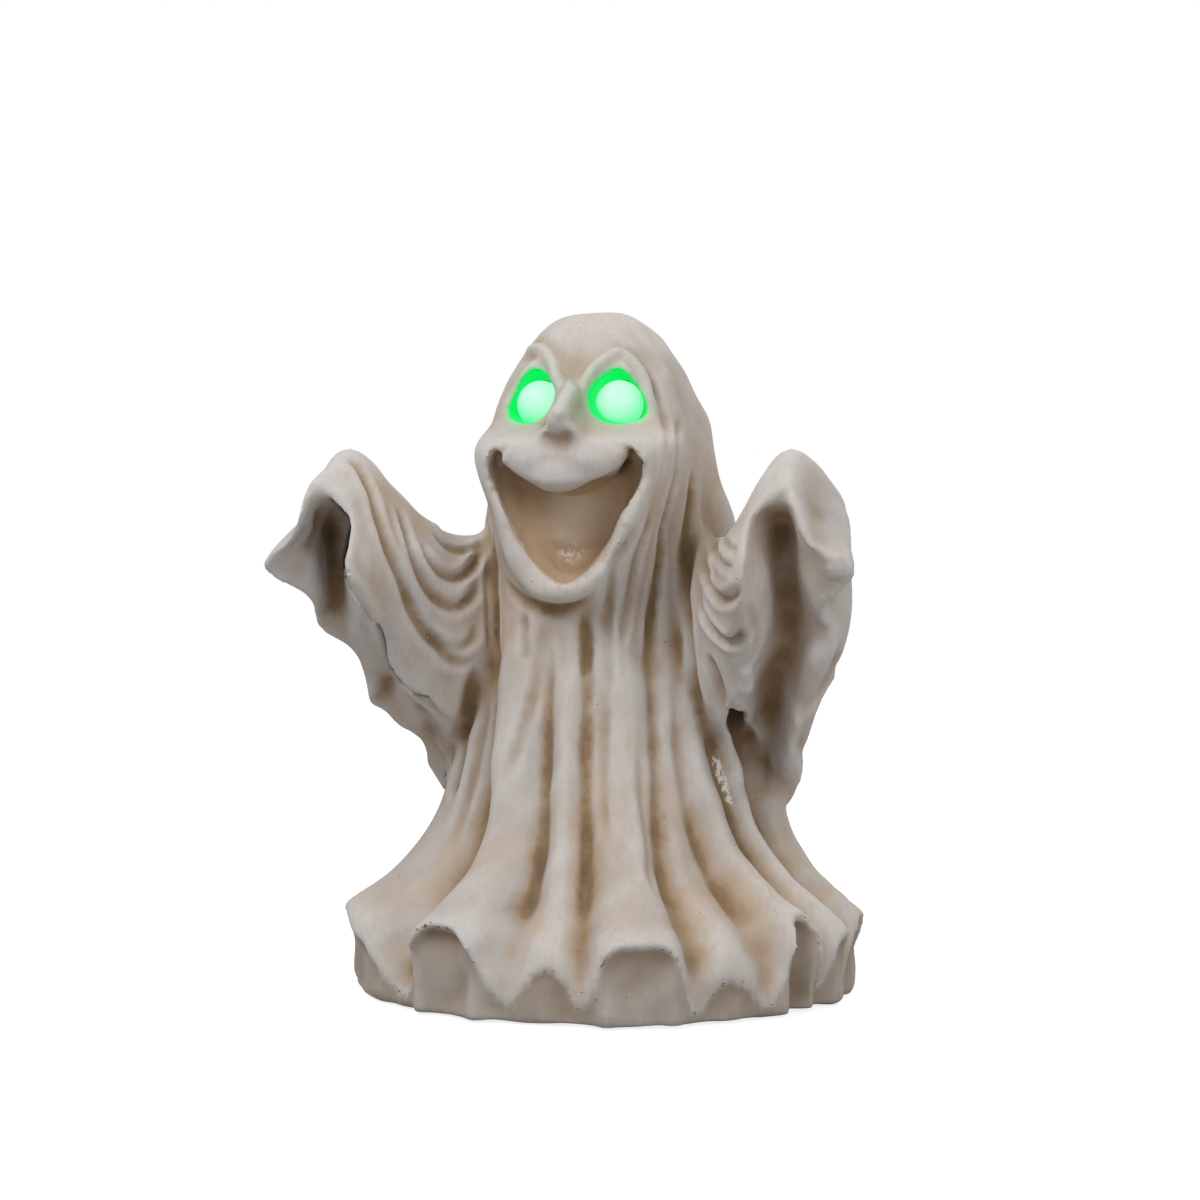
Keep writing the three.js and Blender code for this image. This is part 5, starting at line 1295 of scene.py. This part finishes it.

# The mouth gets painted shade, added to the wash: darkest on its walls and towards its roof.
FRONT = -38
WALL_GLOOM = 0.55
FLOOR_GLOOM = 0.08
ROOF_GLOOM = 0.25
front = y < FRONT
in_mouth = within(MOUTH_LOOP, np.stack([x, z], -1)) & front
gloom = np.where(np.abs(facing[:, 1]) < 0.6, WALL_GLOOM, FLOOR_GLOOM) + ramp(z, 288, 358, 0, ROOF_GLOOM)
wash_and_shade = np.where(in_mouth, np.maximum(wash_and_shade * 0.8, gloom * ramp(y, -90, -78)), wash_and_shade)
edge = np.where(in_mouth, edge * 0.3, edge)

# The hem's lip is pale and chipped below its edge, and the skirting under it is darker with painted shade.
LIP_PALE = 0.8
LIP_BRUSH = 0.9
SKIRT_BRUSH = 0.4
below, outside = below_lip(points)
pale_lip = outside * hill(below, 0.5, 2.2)
skirt_shade = averaged(outside * ramp(below, 3, 5), pairs, 1)
wash_and_shade *= 1 - LIP_PALE * pale_lip
edge = np.where(skirt_shade > 0.5, edge * SKIRT_BRUSH, np.maximum(edge, LIP_BRUSH * pale_lip))
note("skirt_shade", skirt_shade)
note("lip", outside * hill(below, 2.4, 1.5))

# A pale scrape on a fold, seen in the picture, the pale tongue, and the wash between the brows.
SCRAPE = np.array([[715, 760], [719, 772], [724, 784], [730, 800]], float)
SCRAPE_WIDE = 4.2
TONGUE_SHARE = 0.55
BROWS_SHARE = 0.4
scrape = hill(distance_to(SCRAPE, flat), 0, SCRAPE_WIDE) * (facing @ camera_back > 0.1) * (y < 0)
tongue = hill(x, -3, 12) * hill(z, 266, 9) * in_mouth * (y > -75)
between_brows = hill(x, 0, 12) * hill(z, 372, 12) * (y < -40)
note("scrape", np.maximum(scrape, TONGUE_SHARE * tongue))
note("wash_and_shade", np.clip(np.maximum(wash_and_shade, BROWS_SHARE * between_brows), 0, 1))
note("edge", np.clip(edge, 0, 1))

# Painted light: the sockets are coloured green and glow as the eyes' light, and the green spills a little
# further on the side of the nose.
SPILL = 2.2
SPILL_TO_NOSE = 2.4
NOSE_RUN = 14
in_socket = np.zeros(len(points))
spill = np.zeros(len(points))
for side in (1, -1):
    flat = np.stack([side * x, z], -1)
    in_socket = np.maximum(in_socket, front & within(SOCKET_LOOP, flat))
    wide = SPILL + SPILL_TO_NOSE * ramp(side * x, EYE_ACROSS, EYE_ACROSS - NOSE_RUN)
    spill = np.maximum(spill, front * np.exp(-distance_to(closed(SOCKET_LOOP), flat) / wide))
note("glow", averaged(in_socket, pairs, 1))
note("spill", spill)
# Painted light: the back of the mouth, which is made paler as if lit.
note("throat", averaged(in_mouth * ramp(y, -84, -72), pairs, 1))


# Materials

def linear(r, g, b):
    """A colour written in 0-255 as the screen shows it."""
    def one(v):
        v /= 255
        return v / 12.92 if v <= 0.04045 else ((v + 0.055) / 1.055) ** 2.4
    return (one(r), one(g), one(b), 1)


class Finish:
    """A material made of nodes."""

    def __init__(self, name):
        self.material = bpy.data.materials.new(name)
        self.material.use_nodes = True
        self.tree = self.material.node_tree
        self.tree.nodes.clear()
        self.shader = self.add("ShaderNodeBsdfPrincipled")
        out = self.add("ShaderNodeOutputMaterial")
        self.link(self.shader.outputs[0], out.inputs["Surface"])

    def add(self, kind, **settings):
        node = self.tree.nodes.new(kind)
        for key, value in settings.items():
            setattr(node, key, value)
        return node

    def link(self, source, target):
        self.tree.links.new(source, target)

    def feed(self, value, socket):
        if isinstance(value, bpy.types.NodeSocket):
            self.link(value, socket)
        else:
            socket.default_value = value

    def place(self, scale=(1, 1, 1)):
        """Object coordinates, in metres, scaled."""
        where = self.add("ShaderNodeTexCoord").outputs["Object"]
        mapping = self.add("ShaderNodeMapping")
        self.link(where, mapping.inputs["Vector"])
        mapping.inputs["Scale"].default_value = scale
        return mapping.outputs["Vector"]

    def noise(self, scale, detail=3, rough=0.55, stretch=(1, 1, 1), warp=0.0):
        node = self.add("ShaderNodeTexNoise")
        self.link(self.place(stretch), node.inputs["Vector"])
        node.inputs["Scale"].default_value = scale
        node.inputs["Detail"].default_value = detail
        node.inputs["Roughness"].default_value = rough
        node.inputs["Distortion"].default_value = warp
        return node.outputs["Fac"]

    def cells(self, scale):
        node = self.add("ShaderNodeTexVoronoi")
        self.link(self.place(), node.inputs["Vector"])
        node.inputs["Scale"].default_value = scale
        return node.outputs["Distance"]

    def attribute(self, name):
        return self.add("ShaderNodeAttribute", attribute_name=name).outputs["Fac"]

    def span(self, value, low, high, start=0.0, end=1.0):
        node = self.add("ShaderNodeMapRange")
        self.feed(value, node.inputs["Value"])
        for key, number in zip(("From Min", "From Max", "To Min", "To Max"), (low, high, start, end)):
            node.inputs[key].default_value = number
        return node.outputs["Result"]

    def level(self, noise, least, most):
        """A noise, most of which lies between 0.3 and 0.7, laid from the least to the most."""
        return self.span(noise, 0.3, 0.7, least, most)

    def math(self, operation, a, b=0.0, clamp=False):
        node = self.add("ShaderNodeMath", operation=operation, use_clamp=clamp)
        self.feed(a, node.inputs[0])
        self.feed(b, node.inputs[1])
        return node.outputs[0]

    def times(self, a, b):
        return self.math("MULTIPLY", a, b)

    def mix(self, share, a, b, blend="MIX"):
        node = self.add("ShaderNodeMix", data_type="RGBA", blend_type=blend)
        self.feed(share, node.inputs[0])
        self.feed(a, node.inputs[6])
        self.feed(b, node.inputs[7])
        return node.outputs[2]

    def bump(self, height, distance, strength):
        """Relief of a height in millimetres."""
        node = self.add("ShaderNodeBump")
        self.feed(height, node.inputs["Height"])
        node.inputs["Distance"].default_value = distance * MM
        node.inputs["Strength"].default_value = strength
        return node.outputs["Normal"]

    def set(self, **values):
        """The finished material, with values on its shader."""
        names = {
            "colour": "Base Color", "rough": "Roughness", "metal": "Metallic", "normal": "Normal",
            "glow": "Emission Color", "glow_strength": "Emission Strength", "gloss": "Specular IOR Level",
            "coat": "Coat Weight", "through": "Transmission Weight",
        }
        for key, value in values.items():
            self.feed(value, self.shader.inputs[names[key]])
        return self.material


def stone():
    f = Finish("aged_stone")
    wash_and_shade = f.attribute("wash_and_shade")
    edge = f.attribute("edge")
    glow = f.span(f.attribute("glow"), 0.35, 0.7)
    spill = f.attribute("spill")
    throat = f.attribute("throat")
    patches = f.noise(14, 4, 0.6, (1, 1, 0.6), 0.4)
    streaks = f.noise(60, 4, 0.65, (1, 1, 0.09), 0.2)
    fine_streaks = f.noise(260, 3, 0.6, (1, 1, 0.06))
    blotches = f.noise(45, 5, 0.65, warp=0.6)
    grain = f.noise(900, 3, 0.6)
    pale = linear(197, 189, 183)
    warm = linear(196, 177, 157)
    grey = linear(180, 173, 168)
    wash = linear(156, 128, 96)
    deep = linear(88, 73, 54)
    bright = linear(212, 207, 203)
    skirting = linear(160, 145, 128)
    dust = linear(90, 80, 70)
    chip = linear(70, 48, 38)
    lit_throat = linear(212, 184, 150)
    bare = linear(226, 223, 219)
    green_spill = linear(120, 225, 150)
    green = linear(16, 205, 92)
    emitted = (0.0, 0.36, 0.06, 1)
    dark = (0, 0, 0, 1)
    colour = f.mix(f.span(patches, 0.42, 0.62), pale, warm)
    colour = f.mix(f.span(blotches, 0.5, 0.72, 0, 0.6), colour, grey)
    streak_share = f.times(f.span(streaks, 0.5, 0.75, 0, 0.6), f.span(blotches, 0.3, 0.6))
    colour = f.mix(streak_share, colour, warm)
    uneven = f.math("ADD", f.times(streaks, 0.5), f.times(blotches, 0.5))
    # The wash in the hollows and the painted shade in the mouth darken the stone to the wash colour, then
    # towards deep.
    wash_and_shade_share = f.times(wash_and_shade, f.span(uneven, 0.3, 0.62, 0.8, 1.45))
    colour = f.mix(f.span(wash_and_shade_share, 0.06, 0.8, 0, 0.95), colour, wash)
    colour = f.mix(f.span(wash_and_shade_share, 0.7, 1.5, 0, 0.8), colour, deep)
    # Painted shade on the skirting under the hem's lip.
    skirt_shade_share = f.times(f.attribute("skirt_shade"), f.span(patches, 0.35, 0.6, 0.45, 0.75))
    colour = f.mix(skirt_shade_share, colour, skirting)
    brushed = f.times(edge, f.span(fine_streaks, 0.35, 0.65, 0.6, 1.1))
    colour = f.mix(f.span(brushed, 0.1, 0.8, 0, 0.8), colour, bright)
    pits = f.cells(150)
    pit = f.times(f.span(pits, 0.05, 0.09, 1, 0), f.span(f.noise(40, 2), 0.6, 0.66))
    colour = f.mix(pit, colour, deep)
    colour = f.mix(f.level(grain, 0.0, 0.06), colour, dust)
    chipped = f.span(f.noise(300, 3, 0.7), 0.58, 0.63)
    colour = f.mix(f.times(f.span(f.attribute("lip"), 0.5, 0.7), chipped), colour, chip)
    # Painted light at the back of the mouth.
    colour = f.mix(f.times(throat, 0.6), colour, lit_throat)
    scrape = f.times(f.attribute("scrape"), f.span(f.noise(260, 4, 0.7), 0.42, 0.55))
    colour = f.mix(f.span(scrape, 0.25, 0.5), colour, bare)
    # Painted light: green spill round the eyes, and the sockets painted green.
    colour = f.mix(f.times(spill, 0.3), colour, green_spill)
    colour = f.mix(glow, colour, green)
    height = f.math("ADD", f.times(blotches, 0.9), f.times(fine_streaks, 0.5))
    height = f.math("ADD", height, f.times(grain, 0.3))
    height = f.math("SUBTRACT", height, f.times(pit, 0.8))
    rough = f.level(blotches, 0.72, 0.9)
    # The painted light of the sockets, and faintly of the spill, also glows.
    lit = f.math("MAXIMUM", glow, f.times(spill, 0.06))
    return f.set(
        colour=colour, rough=rough, gloss=0.3, normal=f.bump(height, 0.6, 0.7),
        glow=f.mix(lit, dark, emitted), glow_strength=1.0,
    )


shell.data.materials.clear()
shell.data.materials.append(stone())


def plastic(name, colour, rough, grain=0.25):
    f = Finish(name)
    fine = f.noise(1400, 3, 0.6)
    broad = f.noise(60, 3)
    r, g, b = colour
    light = linear(min(255, r * 1.12 + 4), min(255, g * 1.12 + 4), min(255, b * 1.12 + 4))
    tone = f.mix(f.span(broad, 0.35, 0.7, 0, 0.5), linear(r, g, b), light)
    tone = f.mix(f.span(fine, 0.45, 0.7, 0, 0.25), tone, light)
    return f.set(
        colour=tone, rough=f.level(fine, rough - 0.07, rough + 0.09), gloss=0.5,
        normal=f.bump(fine, 0.12, grain),
    )


def metal(name, colour, rough, brushed=(1, 1, 1)):
    f = Finish(name)
    lines = f.noise(700, 3, 0.6, brushed)
    spots = f.noise(90, 3)
    r, g, b = colour
    dull = linear(r * 0.82, g * 0.8, b * 0.78)
    tone = f.mix(f.span(spots, 0.45, 0.7, 0, 0.5), linear(r, g, b), dull)
    return f.set(
        colour=tone, metal=1.0, rough=f.level(lines, rough - 0.06, rough + 0.12),
        normal=f.bump(lines, 0.05, 0.3),
    )


def rubbery(name, colour):
    f = Finish(name)
    fine = f.noise(1100, 4, 0.65)
    dust = f.noise(120, 3)
    r, g, b = colour
    tone = f.mix(f.span(dust, 0.5, 0.75, 0, 0.35), linear(r, g, b), linear(r + 34, g + 33, b + 31))
    return f.set(colour=tone, rough=f.level(fine, 0.72, 0.92), gloss=0.25,
                 normal=f.bump(fine, 0.15, 0.5))


def frosted():
    """A frosted ball lit from inside, brightest before its lamp."""
    f = Finish("frosted_glow")
    where = f.add("ShaderNodeNewGeometry").outputs["Normal"]
    front = f.add("ShaderNodeVectorMath", operation="DOT_PRODUCT")
    f.link(where, front.inputs[0])
    front.inputs[1].default_value = (0.12, -0.88, 0.46)
    level = f.span(front.outputs["Value"], 0.25, 0.95)
    cloud = f.noise(70, 3)
    level = f.math("ADD", level, f.level(cloud, -0.08, 0.08), clamp=True)
    glow = f.mix(level, linear(120, 250, 176), linear(206, 254, 232))
    fine = f.noise(1600, 2)
    return f.set(
        colour=linear(70, 110, 90), rough=f.level(fine, 0.3, 0.42), gloss=0.3, glow=glow,
        glow_strength=0.86, normal=f.bump(fine, 0.05, 0.2),
    )


def lamp():
    f = Finish("green_lamp")
    cloud = f.noise(400, 2)
    return f.set(
        colour=linear(120, 240, 160), rough=f.level(cloud, 0.08, 0.16), through=0.4,
        glow=f.mix(f.span(cloud, 0.3, 0.7), (0.1, 1, 0.35, 1), (0.25, 1, 0.5, 1)), glow_strength=2.0,
    )


def printed_board():
    f = Finish("printed_board")
    tracks = f.add("ShaderNodeTexBrick")
    f.link(f.place(), tracks.inputs["Vector"])
    tracks.inputs["Scale"].default_value = 160
    tracks.inputs["Mortar Size"].default_value = 0.03
    colour = f.mix(tracks.outputs["Fac"], linear(26, 82, 46), linear(58, 124, 74))
    fine = f.noise(900, 2)
    return f.set(colour=colour, rough=f.level(fine, 0.3, 0.45), coat=0.4,
                 normal=f.bump(tracks.outputs["Fac"], 0.08, 0.4))


def cell_wrap():
    f = Finish("cell_wrap")
    fine = f.noise(800, 2)
    bands = f.add("ShaderNodeTexWave", wave_type="BANDS", bands_direction="Z")
    f.link(f.place(), bands.inputs["Vector"])
    bands.inputs["Scale"].default_value = 6
    colour = f.mix(f.span(bands.outputs["Fac"], 0.45, 0.55), linear(70, 88, 110), linear(150, 116, 78))
    return f.set(colour=colour, metal=0.6, rough=f.level(fine, 0.25, 0.4), coat=0.5)


def jacket():
    f = Finish("lead_jacket")
    fine = f.noise(900, 3)
    return f.set(colour=f.mix(f.span(fine, 0.35, 0.7), linear(120, 26, 24), linear(150, 44, 38)),
                 rough=f.level(fine, 0.45, 0.62), normal=f.bump(fine, 0.06, 0.3))


finishes = {
    "white_plastic": plastic("white_plastic", (212, 209, 200), 0.5),
    "black_plastic": plastic("black_plastic", (34, 34, 36), 0.55, 0.5),
    "grey_plastic": plastic("grey_plastic", (142, 144, 146), 0.42),
    "rubber": rubbery("rubber", (26, 26, 28)),
    "steel": metal("zinc_plate", (188, 190, 194), 0.34, (1, 1, 0.2)),
    "nickel": metal("nickel_plate", (205, 200, 190), 0.24),
    "board": printed_board(),
    "cell_wrap": cell_wrap(),
    "lead_jacket": jacket(),
    "frosted_eye": frosted(),
    "green_lamp": lamp(),
}
slots = {
    "eye_diffuser": "frosted_eye", "eye_collar": "white_plastic", "led_holder": "black_plastic",
    "led_bulb": "green_lamp", "lead_sleeve": "rubber", "eye_lead": "lead_jacket",
    "lead_grommet": "rubber", "lead_clip": "white_plastic", "battery_box": "black_plastic",
    "box_gasket": "rubber", "door_gasket": "rubber", "battery_door": "black_plastic",
    "hinge_pin": "steel", "box_screw": "steel", "door_screw": "steel", "battery_cell": "cell_wrap",
    "contact_spring": "nickel", "contact_plate": "nickel", "timer_board": "board",
    "timer_chip": "black_plastic", "switch_body": "steel", "switch_slider": "grey_plastic",
    "base_plate": "black_plastic", "base_screw": "steel", "foot_pad": "rubber",
}
for name, node in cad.items():
    if name == "ghost_shell":
        continue
    stem = next(key for key in slots if name.startswith(key))
    node.data.materials.clear()
    node.data.materials.append(finishes[slots[stem]])


# The eyes' balls, round where the model's are faceted

BALL_INSIDE = BALL - 1.2
NECK_OUTSIDE = 6.5
NECK_INSIDE = 5
NECK_END = 18


def arc(radius, neck, count):
    """Points of [radius, height] on a ball, from its front to where it meets its neck."""
    turns = np.linspace(0, np.pi - math.asin(neck / radius), count)[1:]
    return [(radius * math.sin(t), -radius * math.cos(t)) for t in turns]


outline = arc(BALL, NECK_OUTSIDE, 33) + [(NECK_OUTSIDE, NECK_END), (NECK_INSIDE, NECK_END)]
outline += arc(BALL_INSIDE, NECK_INSIDE, 25)[::-1]
around = np.linspace(0, 2 * np.pi, 64, endpoint=False)
rings = [[[r * math.cos(b), r * math.sin(b), h] for b in around] for r, h in outline]
shape = tube(rings, [0, 0, -BALL], [0, 0, -BALL_INSIDE])
for place, name in zip(eye_places, ("left", "right")):
    diffuser = piece(f"eye_ball_{name}", *lengthwise(shape, place))
    diffuser.data.shade_smooth()
    diffuser.data.materials.append(finishes["frosted_eye"])
    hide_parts(f"eye_diffuser_{name}")
    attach(diffuser, "figure")


# The floor, the light and the world

WHITE = (1, 1, 1, 1)
FLOOR_HALF = 3000
FLOOR_TONE = (0.42, 0.42, 0.42, 1)
FLOOR_SHOWN = 0.82
SKY_LIGHT = 0.44
SKY_SHOWN = 1.0

floor_corners = FLOOR_HALF * np.array([[-1, -1, 0], [1, -1, 0], [1, 1, 0], [-1, 1, 0]])
floor = piece("floor", floor_corners, [(0, 1, 2, 3)])
f = Finish("white_floor")
path = f.add("ShaderNodeLightPath")
f.set(colour=FLOOR_TONE, rough=0.9, gloss=0.0, glow=WHITE,
      glow_strength=f.times(path.outputs["Is Camera Ray"], FLOOR_SHOWN))
floor.data.materials.append(f.material)

world = bpy.data.worlds.new("studio")
bpy.context.scene.world = world
world.use_nodes = True
tree = world.node_tree
tree.nodes.clear()
sky = tree.nodes.new("ShaderNodeBackground")
shown = tree.nodes.new("ShaderNodeBackground")
path = tree.nodes.new("ShaderNodeLightPath")
either = tree.nodes.new("ShaderNodeMixShader")
out = tree.nodes.new("ShaderNodeOutputWorld")
for node, strength in ((sky, SKY_LIGHT), (shown, SKY_SHOWN)):
    node.inputs["Color"].default_value = WHITE
    node.inputs["Strength"].default_value = strength
tree.links.new(path.outputs["Is Camera Ray"], either.inputs[0])
tree.links.new(sky.outputs[0], either.inputs[1])
tree.links.new(shown.outputs[0], either.inputs[2])
tree.links.new(either.outputs[0], out.inputs["Surface"])


# Each light: its name, its place and its target in metres, its two widths and its power.
LIGHTS = [
    ("key", (-0.7, -1.2, 1.9), (0, 0, 0.24), (1.0, 1.0), 24),
    ("fill", (1.6, -1.2, 0.9), (0, 0, 0.22), (1.2, 1.2), 9),
    ("back", (0.5, 1.6, 1.3), (0, 0, 0.22), (1.2, 1.0), 10),
]
for name, place, target, size, power in LIGHTS:
    data = bpy.data.lights.new(name, "AREA")
    data.shape = "RECTANGLE"
    data.size, data.size_y = size
    data.energy = power
    made = bpy.data.objects.new(name, data)
    bpy.context.scene.collection.objects.link(made)
    made.location = place
    made.rotation_euler = (Vector(target) - Vector(place)).to_track_quat("-Z", "Y").to_euler()

bpy.context.scene.view_settings.view_transform = "Standard"
